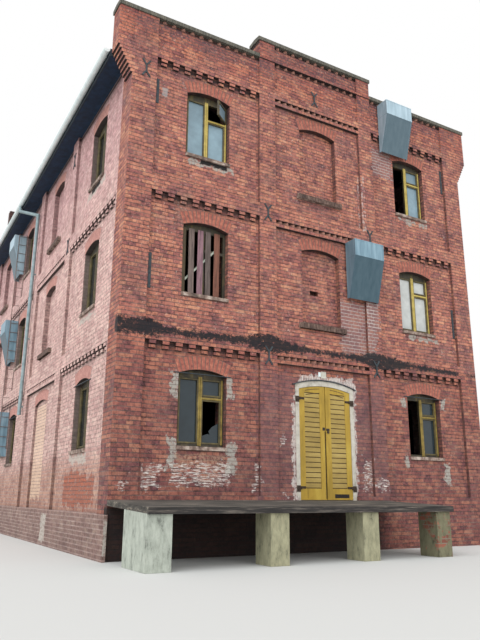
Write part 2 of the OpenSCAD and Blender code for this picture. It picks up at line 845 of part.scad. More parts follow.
// What is left of the broken pane under the vent of one window
module shard(x, s) {
    half = (window_w - 3 * frame_bar) / 2;
    low = sills[s] + frame_bar;
    h = vent_z(s) - frame_bar / 2 - low;
    outline = [[0, 0], [1, 0], [1, 0.5], [0.94, 0.49], [0.61, 0.4], [0.44, 0.3], [0.5, 0.22],
        [0.39, 0.24], [0, 0.167]];
    y0 = frame_y + frame_t / 2;
    upright(x + frame_bar / 2, y0, y0 + glass_t)
        polygon([for (p = outline) [p[0] * half, low + p[1] * h]]);
}

module front_window_frames() {
    color("#8d8748") site() {
        frames(front_bays);
        open_vent(front_bays[0][0] + outer_bay / 2, 2, false);
    }
}

module left_window_frames() { color("#8d8748") site() on_left() frames(side_bays); }
module right_window_frames() { color("#8d8748") site() on_right() frames(side_bays); }
module back_window_frames() { color("#8d8748") site() on_back() frames(front_bays); }

module front_window_glass() {
    left = front_bays[0][0] + outer_bay / 2;
    right = front_bays[2][0] + outer_bay / 2;
    color("#9fb0b4") site() {
        window_glass(left, 0, [true, false, true]);
        shard(left, 0);
        window_glass(left, 2, [true, true, false]);
        open_vent(left, 2, true);
        window_glass(right, 0, [false, true, true]);
        window_glass(right, 1, [true, true, true]);
        window_glass(right, 2, [false, true, true]);
    }
}

module left_window_glass() { color("#9fb0b4") site() on_left() panes(side_bays); }
module right_window_glass() { color("#9fb0b4") site() on_right() panes(side_bays); }
module back_window_glass() { color("#9fb0b4") site() on_back() panes(front_bays); }

// Upright planks in front of one frame
module window_planks() {
    x = front_bays[0][0] + outer_bay / 2;
    pitch = window_w / plank_count;
    color("#8b8578") site() for (i = [0:plank_count - 1])
        translate([x - (window_w - plank_gap) / 2 + i * pitch, frame_y - plank_t, sills[1]])
            cube([pitch - plank_gap, plank_t, springs[1] - sills[1] - 10]);
}

module sill(x, w, z, out, h) {
    translate([x - w / 2, recess - out, z - h]) cube([w, out, h]);
}

module sill_row(bays) {
    for (bay = bays) {
        x = bay[0] + bay[1] / 2;
        for (s = [bay[2] ? 1 : 0:2])
            if (bay[2])
                sill(x, blind_w + 2 * blind_sill_past, blind_sills[s], blind_sill_out, blind_sill_h);
            else sill(x, window_w + 2 * sill_past, sills[s], sill_out, sill_h);
    }
}

module window_sills() {
    color("#b5aa9c") site() {
        sill_row(front_bays);
        on_back() sill_row(front_bays);
        on_left() sill_row(side_bays);
        on_right() sill_row(side_bays);
    }
}

// Sheet-metal hood on the wall's face at the depth back, open at its foot and its back
module hood(x, top, back = 0) {
    z = top - hood_h;
    t = hood_t;
    slope = (hood_out - hood_foot) / (hood_h - hood_band);
    difference() {
        along(x, x + hood_w) polygon([[back, z], [-hood_foot, z], [-hood_out, top - hood_band],
            [-hood_out, top], [back, top]]);
        along(x + t, x + hood_w - t)
            polygon([[back + cut, z - cut], [-hood_foot + t + slope * cut, z - cut],
                [-hood_out + t, top - hood_band], [-hood_out + t, top - t], [back + cut, top - t]]);
    }
}

module front_hoods() {
    color("#7d9099") site() for (place = front_hood_tops) hood(place[0], place[1]);
}

module left_hoods() {
    color("#7d9099") site() on_left() for (s = [0:2])
        hood(side_l - hood_y - hood_w, friezes[s] - hood_under[s], recess);
}

// Forked wall anchor, drawn as one outline from its upper right quarter
module anchor(x, z) {
    w = anchor_w / 2;
    arm = 0.42 * anchor_l;
    fork = 0.2 * anchor_l;
    side = w * [cos(anchor_lean), -sin(anchor_lean)];
    tip = [arm * sin(anchor_lean), fork + arm * cos(anchor_lean)];
    q = [[0, fork + w / sin(anchor_lean)], tip - side, tip + side,
        [w, fork - w * tan(anchor_lean / 2)]];
    upright(x, -anchor_t, 0) translate([0, z]) polygon(concat(q,
        [for (i = [3:-1:0]) [q[i][0], -q[i][1]]], [for (i = [1:3]) -q[i]],
        [for (i = [3:-1:1]) [-q[i][0], q[i][1]]]));
}

// Upright strap on a panel, its middle at x
module iron_bar(x, z, h) {
    translate([x - bar_w / 2, recess - anchor_t, z]) cube([bar_w, anchor_t, h]);
}

module wall_anchors() {
    inner = front_corner + outer_bay + front_pilaster / 2;
    corner = 0.55 * front_corner;
    left_bar = front_corner + bar_in;
    right_bar = front_w - left_bar;
    color("#3f4244") site() {
        anchor(corner, wall_top - 350);
        anchor(mid_x - 100, wall_top + 340);
        for (side = [inner, front_w - inner])
            for (s = [0, 1]) anchor(side, friezes[s] + (s == 1 ? 120 : -20));
        iron_bar(left_bar, springs[2] - 475, 550);
        iron_bar(left_bar, friezes[0] + 970, 690);
        iron_bar(right_bar, springs[2] - 485, 650);
        iron_bar(right_bar, friezes[0] + 1000, 720);
        on_left() {
            x = side_l - side_corner - window_bay - side_pilaster / 2;
            anchor(x, wall_top - 550);
            anchor(x, friezes[1] + 100);
        }
    }
}

// Piece of the ladder's rail between two heights, at the depth y
module ladder_rail(y, z0, z1) {
    translate([side_l - ladder_y, y, z0]) cube([ladder_bar, rail_w, z1 - z0]);
}

// Ladder square to the long wall: its rungs run from the wall to an upright outside them
module wall_ladder() {
    gap = 10;
    in_y = recess - 1.5 * rail_w;
    color("#6d706c") site() on_left() {
        ladder_rail(-ladder_out, ladder_foot, ladder_top);
        ladder_rail(in_y, ladder_foot, friezes[0] - 2 * course - gap);
        for (s = [1, 2]) {
            ladder_rail(in_y, side_feet[s] + gap, sills[s] - sill_h - gap);
            ladder_rail(in_y, sills[s] + gap, s == 1 ? friezes[1] - 2 * course - gap : ladder_top);
        }
        for (i = [0:rung_count - 1]) {
            z = ladder_foot + rung_up + i * rung_pitch;
            face = flush_at(z) ? 0 : recess;
            translate([side_l - ladder_y + ladder_bar / 2, face, z]) rotate([90, 0, 0])
                cylinder(r = rung_r, h = face + ladder_out - rail_w / 2, $fn = 24);
        }
    }
}

front_wall_left();
front_wall_right();
front_wall_over_door();
front_wall_under_door();
left_wall();
right_wall();
back_wall();
front_parapet();
back_parapet();
front_coping();
back_coping();
ground_floor();
first_floor();
second_floor();
left_roof();
right_roof();
fascia_boards();
left_gutter();
right_gutter();
left_downpipe();
right_downpipe();
chimney();
dock_slab();
dock_edge();
dock_piers();
door_jamb_left();
door_jamb_right();
door_arch();
door_leaf_left();
door_leaf_right();
strap_hinges_left();
strap_hinges_right();
door_pintles();
door_staple();
door_hasp();
front_window_frames();
left_window_frames();
right_window_frames();
back_window_frames();
front_window_glass();
left_window_glass();
right_window_glass();
back_window_glass();
window_planks();
window_sills();
front_hoods();
left_hoods();
wall_anchors();
wall_ladder();
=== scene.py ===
# Three-storey brick factory building, dressed over its CAD frame. Lengths are in metres.
import math

import bpy
from mathutils import Matrix, Vector


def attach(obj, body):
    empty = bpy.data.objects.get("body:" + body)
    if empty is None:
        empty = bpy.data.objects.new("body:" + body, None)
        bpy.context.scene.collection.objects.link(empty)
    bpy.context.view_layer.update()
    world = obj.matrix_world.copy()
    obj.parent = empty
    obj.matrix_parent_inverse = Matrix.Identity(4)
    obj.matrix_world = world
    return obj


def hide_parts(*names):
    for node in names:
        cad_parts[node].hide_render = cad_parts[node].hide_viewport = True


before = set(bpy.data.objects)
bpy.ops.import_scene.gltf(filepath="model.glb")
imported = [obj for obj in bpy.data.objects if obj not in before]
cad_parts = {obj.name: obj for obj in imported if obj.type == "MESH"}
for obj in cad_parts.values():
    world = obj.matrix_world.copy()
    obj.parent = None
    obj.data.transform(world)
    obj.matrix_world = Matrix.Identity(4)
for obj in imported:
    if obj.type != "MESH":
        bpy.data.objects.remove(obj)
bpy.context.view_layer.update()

# Sizes of the CAD model, measured from its front left corner at ground level
MID_X, MID_Y = 4.505, 8.365
FRONT_W, SIDE_L = 9.01, 18.47
COURSE = 0.077
DOCK_H = 0.95
RECESS = 0.065
FRIEZES = [DOCK_H + (36 + 38 * s) * COURSE for s in range(3)]
SPRINGS = [z - 7 * COURSE for z in FRIEZES]
SILLS = [z - n * COURSE for z, n in zip(SPRINGS, (17, 18, 18))]
COPE_Z = FRIEZES[2] + 12 * COURSE
ATTIC_Z = COPE_Z + 6 * COURSE
FRONT_BAYS = [(0.515, 2.405), (3.32, 2.37), (6.09, 2.405)]
SIDE_BAYS = [(0.56, 3.23), (4.24, 2.93), (7.62, 3.23), (11.3, 2.93), (14.68, 3.23)]
WINDOW_W, BLIND_W, ARCH_RISE = 0.99, 1.0, 0.095
LEFT_WINDOW = FRONT_BAYS[0][0] + FRONT_BAYS[0][1] / 2
FRAME_Y = RECESS + 0.12
LEAVES_W, LEAF_GAP = 1.28, 0.015
LEAF_Y = 0.06
STILE = 0.13
# A brick of 250 mm with its joint, half of that joint, and the height that the walls' tints run over
BRICK_L, HALF_JOINT = 0.262, 0.0058
WALL_H = 11.2
# Width over which the edge of a patch fades
SOFT_EDGE = 0.012

# Each face of the building turns its own right, depth and height into the row frame
FACES = {
    "front": Matrix.Translation((-MID_X, -MID_Y, 0)),
    "back": Matrix.Translation((MID_X, SIDE_L - MID_Y, 0)) @ Matrix.Rotation(math.pi, 4, "Z"),
    "left": Matrix.Translation((-MID_X, SIDE_L - MID_Y, 0)) @ Matrix.Rotation(-math.pi / 2, 4, "Z"),
    "right": Matrix.Translation((MID_X, -MID_Y, 0)) @ Matrix.Rotation(math.pi / 2, 4, "Z"),
}


def linear(code):
    """Turns an sRGB hex value to the linear colour that a shader takes."""
    parts = [int(code[i:i + 2], 16) / 255 for i in (1, 3, 5)]
    return (*[c / 12.92 if c <= 0.04045 else ((c + 0.055) / 1.055) ** 2.4 for c in parts], 1)


def add(tree, kind, links=(), out=0, stops=(), **settings):
    """Adds a node with its settings and links, and returns one of its outputs, or all of them for None.

    Links are values or other nodes' outputs, one for each input in turn or by an input's name or number.
    Stops are those of a colour ramp. A hex value is a colour, and a bare number there a level of grey.
    """
    made = tree.nodes.new(kind if kind.startswith("Node") else "ShaderNode" + kind)
    for name, value in settings.items():
        setattr(made, name, value)
    for i, (place, code) in enumerate(stops):
        stop = made.color_ramp.elements[i] if i < 2 else made.color_ramp.elements.new(place)
        stop.position = place
        stop.color = linear(code) if isinstance(code, str) else (code, code, code, 1)
    for name, value in links.items() if isinstance(links, dict) else enumerate(links):
        if isinstance(value, bpy.types.NodeSocket):
            tree.links.new(value, made.inputs[name])
        else:
            made.inputs[name].default_value = linear(value) if isinstance(value, str) else value
    return made.outputs if out is None else made.outputs[out]


# Inputs of a node that mixes two colours, and its output
PART, FIRST, SECOND, MIXED = 0, 6, 7, 2


def waves(size):
    """Scale of a pattern whose blotches lie so many millimetres apart in the real finish."""
    return 1000 / size


def surface(name):
    """Starts a material, and returns it with its node tree and the object coordinates."""
    made = bpy.data.materials.new(name)
    made.use_nodes = True
    place = add(made.node_tree, "TexCoord", out="Object")
    return made, made.node_tree, place


def finished(made, colour, rough, metal=0.0, height=None, bump=0.002, strength=0.7):
    """Links a material's colour and relief to its shader, and sets how rough and metallic it is."""
    tree = made.node_tree
    shader = tree.nodes["Principled BSDF"]
    tree.links.new(colour, shader.inputs["Base Color"])
    shader.inputs["Roughness"].default_value = rough
    shader.inputs["Metallic"].default_value = metal
    if height is not None:
        relief = add(tree, "Bump", {"Strength": strength, "Distance": bump, "Height": height})
        tree.links.new(relief, shader.inputs["Normal"])
    return made


def patch_group():
    """Node group for a ragged patch: a box on a wall whose edges a noise eats into."""
    tree = bpy.data.node_groups.new("ragged patch", "ShaderNodeTree")
    for name, kind in (("Place", "Vector"), ("Grain", "Vector"), ("Middle", "Vector"), ("Half", "Vector"),
                       ("Ragged", "Float"), ("Cover", "Float")):
        tree.interface.new_socket(name, in_out="INPUT", socket_type="NodeSocket" + kind)
    tree.interface.new_socket("Mask", in_out="OUTPUT", socket_type="NodeSocketFloat")
    given = add(tree, "NodeGroupInput", out=None)
    off = add(tree, "VectorMath", (given["Place"], given["Middle"]), operation="SUBTRACT")
    off = add(tree, "VectorMath", [off], operation="ABSOLUTE")
    past = add(tree, "VectorMath", (off, given["Half"]), operation="SUBTRACT")
    sides = add(tree, "SeparateXYZ", [past], None)
    past = add(tree, "Math", (sides[0], sides[1]), operation="MAXIMUM")
    torn = add(tree, "TexNoise", {"Vector": given["Place"], "Scale": waves(222.2), "Detail": 5.0,
                                  "Roughness": 0.7})
    torn = add(tree, "Math", (torn, 0.5), operation="SUBTRACT")
    edge = add(tree, "Math", (torn, given["Ragged"], past), operation="MULTIPLY_ADD")
    inside = add(tree, "MapRange", (edge, SOFT_EDGE, -SOFT_EDGE, 0.0, 1.0))
    # What stays of a coat is where its own grain is high
    grain = add(tree, "TexNoise", {"Vector": given["Grain"], "Scale": waves(58.82), "Detail": 4.0,
                                   "Roughness": 0.75})
    lack = add(tree, "Math", (given["Cover"], 1.0), operation="SUBTRACT")
    stays = add(tree, "Math", (grain, lack), operation="ADD")
    stays = add(tree, "MapRange", (stays, -0.05, 0.08, 0.0, 1.0))
    mask = add(tree, "Math", (inside, stays), operation="MULTIPLY")
    add(tree, "NodeGroupOutput", [mask], None)
    return tree


PATCH = patch_group()


def patched(tree, wall, colour, patches, code, ragged, cover, part, drawn=(1, 1, 1)):
    """Lays ragged patches of one colour over a wall. A patch is left, right, bottom and top."""
    grain = add(tree, "Mapping", {"Vector": wall, "Scale": drawn})
    for left, right, low, high in patches:
        middle = ((left + right) / 2, (low + high) / 2, 0)
        half = ((right - left) / 2, (high - low) / 2, 1)
        mask = add(tree, "Group", {"Place": wall, "Grain": grain, "Middle": middle, "Half": half,
                                   "Ragged": ragged, "Cover": cover}, node_tree=PATCH)
        mask = add(tree, "Math", (mask, part), operation="MULTIPLY")
        colour = add(tree, "Mix", {PART: mask, FIRST: colour, SECOND: code}, MIXED, data_type="RGBA")
    return colour


def painted_shade_stops():
    """Painted shade in the hollows of the friezes and under the copings, by height out of WALL_H."""
    stops = []
    for z in FRIEZES:
        stops += [(z - 2.6 * COURSE, 0.0), (z - 2.2 * COURSE, 0.35), (z - 1.15 * COURSE, 0.45),
                  (z - 1.05 * COURSE, 0.92), (z - 0.01, 0.92), (z + 0.01, 0.0)]
    for z in (COPE_Z, ATTIC_Z):
        stops += [(z - 1.4 * COURSE, 0.0), (z - 1.1 * COURSE, 0.95), (z - 0.01, 0.95), (z + 0.01, 0.0)]
    return [(z / WALL_H, level) for z, level in stops]


def bonded(tree, wall):
    """English bond: a course of stretchers, then one of headers, which are half as long.

    Returns each brick's own tint, its joints, and the beds alone.
    """
    # The joints wander by a few millimetres, as hand-laid ones do
    wander = add(tree, "TexNoise", {"Vector": wall, "Scale": waves(111.1), "Detail": 2.0}, "Color")
    wander = add(tree, "VectorMath", (wander, (-0.5, -0.5, -0.5)), operation="ADD")
    laid = add(tree, "VectorMath", (wander, (0.016, 0.012, 0.0), wall), operation="MULTIPLY_ADD")
    bond = add(tree, "TexBrick", {"Vector": laid, "Color1": "#000000", "Color2": "#ffffff",
                                  "Mortar": "#000000", "Scale": 1.0, "Mortar Size": HALF_JOINT,
                                  "Mortar Smooth": 0.4, "Brick Width": BRICK_L, "Row Height": COURSE}, None,
               offset=0.5, squash=0.5, offset_frequency=2, squash_frequency=2)
    bed = add(tree, "SeparateXYZ", [laid], 1)
    bed = add(tree, "Math", (bed, COURSE / 2), operation="PINGPONG")
    bed = add(tree, "MapRange", (bed, 0.014, 0.006, 0.0, 1.0))
    return bond["Color"], bond["Fac"], bed


def depth_in(tree, spot, sideways):
    """Depth behind the outer face of the wall."""
    from_middle = add(tree, "Math", (spot[1], SIDE_L / 2 - MID_Y), operation="SUBTRACT")
    from_middle = add(tree, "Math", [from_middle], operation="ABSOLUTE")
    depth_y = add(tree, "Math", (SIDE_L / 2, from_middle), operation="SUBTRACT")
    from_middle = add(tree, "Math", [spot[0]], operation="ABSOLUTE")
    depth_x = add(tree, "Math", (MID_X, from_middle), operation="SUBTRACT")
    return add(tree, "Mix", {"Factor": sideways, "A": depth_y, "B": depth_x})


def shade_and_soot_on(tree, spot, normal, depth, storey):
    """How dark a wall is painted: shade in its hollows and on its undersides, soot and shade on its returns.
    """
    # Painted shade in the hollows of the friezes and under the copings
    sunk = add(tree, "MapRange", (depth, 0.02, 0.04, 0.0, 1.0))
    shade_and_soot = add(tree, "ValToRGB", [storey], stops=painted_shade_stops())
    shade_and_soot = add(tree, "Math", (sunk, shade_and_soot), operation="MULTIPLY")
    # A little soot and painted shade on the returns of the panels and windows
    upright = add(tree, "Math", [normal[2]], operation="ABSOLUTE")
    upright = add(tree, "Math", (upright, 0.5), operation="LESS_THAN")
    deep = add(tree, "Math", (depth, 0.3), operation="GREATER_THAN")
    deep = add(tree, "Math", (deep, upright), operation="MULTIPLY")
    below_eaves = add(tree, "Math", (spot[2], FRIEZES[2]), operation="LESS_THAN")
    deep = add(tree, "Math", (deep, below_eaves), operation="MULTIPLY")
    deep = add(tree, "Math", (deep, 0.42), operation="MULTIPLY")
    shade_and_soot = add(tree, "Math", (shade_and_soot, deep), operation="MAXIMUM")
    # Painted shade on every underside
    under = add(tree, "Math", (normal[2], -0.5), operation="LESS_THAN")
    under = add(tree, "Math", (under, 0.88), operation="MULTIPLY")
    return add(tree, "Math", (shade_and_soot, under), operation="MAXIMUM")


def brickwork(name, bricks, others, zones, marks=None):
    """Fired clay bricks in lime mortar: matt, porous, no two of one colour, and dark with painted shade in
    the hollows.
    """
    made, tree, place = surface(name)
    dark_joint, pale_joint, stain, bloom = others
    normal = add(tree, "NewGeometry", out="Normal")
    normal = add(tree, "SeparateXYZ", [normal], None)
    spot = add(tree, "SeparateXYZ", [place], None)
    sideways = add(tree, "Math", [normal[0]], operation="ABSOLUTE")
    sideways = add(tree, "Math", (sideways, 0.5), operation="GREATER_THAN")
    along = add(tree, "Mix", {"Factor": sideways, "A": spot[0], "B": spot[1]})
    up = add(tree, "Math", (spot[2], DOCK_H % COURSE), operation="SUBTRACT")
    wall = add(tree, "CombineXYZ", (along, up))
    tint, mortar, bed = bonded(tree, wall)
    # The grain and grit of fired clay are finer than the render shows, so they are drawn coarser
    broad = add(tree, "TexNoise", {"Vector": wall, "Scale": waves(1111), "Detail": 3.0, "Roughness": 0.6})
    middling = add(tree, "TexNoise", {"Vector": wall, "Scale": waves(312.5), "Detail": 4.0,
                                      "Roughness": 0.6})
    grain = add(tree, "TexNoise", {"Vector": place, "Scale": waves(66.67), "Detail": 3.0, "Roughness": 0.8})
    grit = add(tree, "TexNoise", {"Vector": place, "Scale": waves(18.18), "Detail": 5.0, "Roughness": 0.7})
    value = add(tree, "Math", (tint, 0.62, -0.06), operation="MULTIPLY_ADD")
    value = add(tree, "Math", (middling, 0.85, value), operation="MULTIPLY_ADD")
    value = add(tree, "Math", (value, 0.48), operation="SUBTRACT")
    value = add(tree, "Math", (grain, 0.7, value), operation="MULTIPLY_ADD")
    colour = add(tree, "ValToRGB", [value], stops=bricks)
    stained = add(tree, "TexNoise", {"Vector": wall, "Scale": waves(769.2), "Detail": 5.0,
                                     "Roughness": 0.65})
    stained = add(tree, "ValToRGB", [stained], stops=[(0.48, 0.0), (0.68, 0.5)])
    colour = add(tree, "Mix", {PART: stained, FIRST: colour, SECOND: stain}, MIXED, data_type="RGBA")
    storey = add(tree, "Math", (spot[2], WALL_H), operation="DIVIDE")
    zone = add(tree, "ValToRGB", [storey], stops=zones)
    colour = add(tree, "Mix", {PART: 1.0, FIRST: colour, SECOND: zone}, MIXED, data_type="RGBA",
                 blend_type="MULTIPLY")
    # The beds show more than the upright joints: rain has washed them out
    pointing = add(tree, "ValToRGB", [middling], stops=[(0.38, dark_joint), (0.68, pale_joint)])
    washed_out = add(tree, "ValToRGB", [grain], stops=[(0.4, 0.95), (0.6, 0.6)])
    beds = add(tree, "Math", (bed, washed_out), operation="MULTIPLY")
    uprights = add(tree, "Math", (mortar, 0.45), operation="MULTIPLY")
    shown = add(tree, "Math", (uprights, beds), operation="MAXIMUM")
    colour = add(tree, "Mix", {PART: shown, FIRST: colour, SECOND: pointing}, MIXED, data_type="RGBA")
    clouds = add(tree, "ValToRGB", [broad], stops=[(0.3, 0.84), (0.7, 1.0)])
    colour = add(tree, "Mix", {PART: 1.0, FIRST: colour, SECOND: clouds}, MIXED, data_type="RGBA",
                 blend_type="MULTIPLY")
    pores = add(tree, "ValToRGB", [grain], stops=[(0.36, 0.6), (0.56, 1.0)])
    colour = add(tree, "Mix", {PART: 1.0, FIRST: colour, SECOND: pores}, MIXED, data_type="RGBA",
                 blend_type="MULTIPLY")
    # Salt blooms in spots, more of them above the ground floor
    salt = add(tree, "TexNoise", {"Vector": place, "Scale": waves(52.63), "Detail": 2.0, "Roughness": 0.9})
    salt = add(tree, "ValToRGB", [salt], stops=[(0.61, 0.0), (0.71, 0.36)])
    upper = add(tree, "ValToRGB", [storey], stops=[(0.3, 0.4), (0.36, 1.0)])
    salt = add(tree, "Math", (salt, upper), operation="MULTIPLY")
    colour = add(tree, "Mix", {PART: salt, FIRST: colour, SECOND: bloom}, MIXED, data_type="RGBA")
    depth = depth_in(tree, spot, sideways)
    if marks:
        joints = add(tree, "Math", (mortar, bed), operation="MAXIMUM")
        colour = marks(tree, wall, spot, depth, joints, colour)
    # Painted shade in the hollows and on the undersides, and soot with painted shade on the returns
    shade_and_soot = shade_and_soot_on(tree, spot, normal, depth, storey)
    colour = add(tree, "Mix", {PART: shade_and_soot, FIRST: colour, SECOND: "#1f1818"}, MIXED, data_type="RGBA")
    height = add(tree, "Math", (mortar, -1.0), operation="MULTIPLY")
    height = add(tree, "Math", (grit, 0.35, height), operation="MULTIPLY_ADD")
    return finished(made, colour, 0.93, 0.0, height, 0.006, 0.8)


def on(left, right, low, high):
    """Patch on the front, given from the building's corner."""
    return left - MID_X, right - MID_X, low - DOCK_H % COURSE, high - DOCK_H % COURSE


def on_side(near, far, low, high):
    """Patch on the left wall, given from the building's corner."""
    return near - MID_Y, far - MID_Y, low - DOCK_H % COURSE, high - DOCK_H % COURSE


def metres_ramp(tree, value, stops):
    """Levels or colours along a length in metres, out of 10 m."""
    part = add(tree, "Math", (value, 10.0), operation="DIVIDE")
    return add(tree, "ValToRGB", [part], stops=[(length / 10.0, level) for length, level in stops])


def tarred(tree, wall, spot, outside, colour):
    """Tar brushed along the first frieze, and painted shade that blackens the wall under the dock."""
    x = add(tree, "Math", (spot[0], MID_X), operation="ADD")
    # How far the tar reaches up and down from its middle line, and how high that runs over 3 m
    reach = metres_ramp(tree, x, [(0.0, 0.15), (0.25, 0.13), (0.6, 0.17), (1.0, 0.06), (2.6, 0.08),
                                  (2.8, 0.15), (3.2, 0.19), (3.7, 0.09), (4.4, 0.04), (5.5, 0.08),
                                  (5.8, 0.2), (6.3, 0.15), (6.9, 0.06), (8.3, 0.05), (8.55, 0.0)])
    middle = metres_ramp(tree, x, [(0.0, 0.92), (0.6, 0.95), (1.0, 0.91), (3.2, 0.95), (4.2, 0.9),
                                   (5.6, 0.9), (6.0, 0.87), (7.0, 0.87), (9.0, 0.83)])
    middle = add(tree, "Math", (middle, 3.0), operation="ADD")
    off = add(tree, "Math", (spot[2], middle), operation="SUBTRACT")
    off = add(tree, "Math", [off], operation="ABSOLUTE")
    torn = add(tree, "TexNoise", {"Vector": wall, "Scale": waves(111.1), "Detail": 8.0, "Roughness": 0.88})
    torn = add(tree, "Math", (torn, 0.5), operation="SUBTRACT")
    edge = add(tree, "Math", (torn, 0.6, off), operation="MULTIPLY_ADD")
    edge = add(tree, "Math", (edge, reach), operation="SUBTRACT")
    tar = add(tree, "MapRange", (edge, SOFT_EDGE, -SOFT_EDGE, 0.0, 0.95))
    worn = add(tree, "TexNoise", {"Vector": wall, "Scale": waves(100), "Detail": 6.0, "Roughness": 0.85})
    worn = add(tree, "ValToRGB", [worn], stops=[(0.38, 0.15), (0.42, 1.0)])
    tar = add(tree, "Math", (tar, worn), operation="MULTIPLY")
    tar = add(tree, "Math", (tar, outside), operation="MULTIPLY")
    colour = add(tree, "Mix", {PART: tar, FIRST: colour, SECOND: "#0c1319"}, MIXED, data_type="RGBA")
    # Painted shade under the dock, fading past the last pier
    damp_and_shade = add(tree, "Math", (torn, 0.9, x), operation="MULTIPLY_ADD")
    damp_and_shade = add(tree, "MapRange", (damp_and_shade, 6.0, 5.6, 0.0, 0.9))
    low = add(tree, "MapRange", (spot[2], 0.88, 0.82, 0.0, 1.0))
    low = add(tree, "Math", (low, outside), operation="MULTIPLY")
    damp_and_shade = add(tree, "Math", (low, damp_and_shade), operation="MULTIPLY")
    return add(tree, "Mix", {PART: damp_and_shade, FIRST: colour, SECOND: "#0e0d0c"}, MIXED, data_type="RGBA")


def front_marks(tree, wall, spot, depth, joints, colour):
    """Plaster, limewash, pale new bricks, soot and brushed tar on the front, with painted shade in a hole and
    under the dock.

    It is called as side_marks is, and has no use for the depth.
    """
    outside = add(tree, "Math", (spot[1], 0.14 - MID_Y), operation="LESS_THAN")
    half = add(tree, "Math", (outside, 0.6), operation="MULTIPLY")
    # New bricks with pale joints where openings were closed
    closed = [on(4.98, 5.95, 3.95, 5.15), on(5.75, 6.05, 4.6, 5.3), on(6.1, 6.75, 8.5, 9.2)]
    colour = patched(tree, wall, colour, closed, "#7b5f5f", 0.7, 0.66, half)
    pale = add(tree, "Math", (half, joints), operation="MULTIPLY")
    colour = patched(tree, wall, colour, closed, "#c9bcb5", 0.7, 0.6, pale)
    # Lime that ran down the edges of pilasters, and damp that turned the doorway's bay purple
    runs = [on(5.692, 5.725, 3.95, 5.1), on(5.64, 5.8, 6.9, 8.3), on(0.59, 0.615, 0.98, 1.56)]
    colour = patched(tree, wall, colour, runs, "#d3c9c2", 0.1, 0.46, half, (1, 0.7, 1))
    damp_and_shade = add(tree, "Math", (outside, 0.36), operation="MULTIPLY")
    colour = patched(tree, wall, colour, [on(2.9, 6.1, 0.95, 3.4)], "#74585c", 1.2, 0.6, damp_and_shade)
    # Soot under the copings
    sooty = [on(0.0, 3.3, 10.1, 10.44), on(3.4, 5.7, 10.55, 10.9), on(5.7, 9.0, 10.1, 10.44)]
    colour = patched(tree, wall, colour, sooty, "#453e47", 0.55, 0.5, half)
    # Plaster round the windows, with the joints showing through it
    plaster = [on(1.08, 1.2, 2.75, 3.2), on(2.22, 2.36, 2.8, 3.2), on(1.06, 1.2, 1.45, 1.98),
               on(2.24, 2.44, 1.42, 1.98), on(6.6, 6.72, 2.95, 3.15), on(7.82, 7.93, 2.95, 3.15),
               on(6.62, 6.74, 1.62, 1.9), on(7.8, 7.95, 1.3, 1.75), on(1.25, 2.3, 7.46, 7.56),
               on(6.9, 7.8, 7.46, 7.54), on(7.0, 7.9, 4.54, 4.62)]
    through = add(tree, "Math", (joints, -0.35, 0.92), operation="MULTIPLY_ADD")
    through = add(tree, "Math", (outside, through), operation="MULTIPLY")
    colour = patched(tree, wall, colour, plaster, "#a3a097", 0.5, 0.6, through)
    # Painted shade in a hole where bricks are missing under the sill of the top left window
    colour = patched(tree, wall, colour, [on(1.55, 2.15, 7.5, 7.6)], "#1a1615", 0.2, 0.8, outside)
    # Limewash that ran over the wall above and beside the doorway
    wash = [on(3.9, 5.22, 3.12, 3.42), on(5.18, 5.32, 2.8, 3.3), on(3.7, 3.78, 1.0, 3.0),
            on(5.22, 5.3, 1.0, 2.9)]
    colour = patched(tree, wall, colour, wash, "#cdc5be", 0.42, 0.54, outside, (4.0, 0.45, 1))
    # Repointed bricks under the sill, and lime brushed over the wall from side to side
    colour = patched(tree, wall, colour, [on(1.2, 2.2, 1.5, 1.74)], "#b08e76", 0.3, 0.52, half)
    brushed = [on(1.1, 2.3, 1.22, 1.58), on(2.85, 2.91, 1.15, 1.58), on(5.52, 5.68, 1.35, 1.76),
               on(3.44, 3.54, 1.0, 1.1), on(3.44, 3.52, 2.0, 2.1), on(5.42, 6.05, 1.16, 1.36),
               on(0.62, 0.9, 1.14, 1.5), on(0.2, 0.26, 1.1, 1.28)]
    colour = patched(tree, wall, colour, brushed, "#ded6ce", 0.7, 0.47, outside, (0.42, 2.6, 1))
    # Grey filler beside the upper strap
    colour = patched(tree, wall, colour, [on(0.66, 0.78, 8.76, 8.96)], "#9aa0a0", 0.15, 0.62, half)
    return tarred(tree, wall, spot, outside, colour)


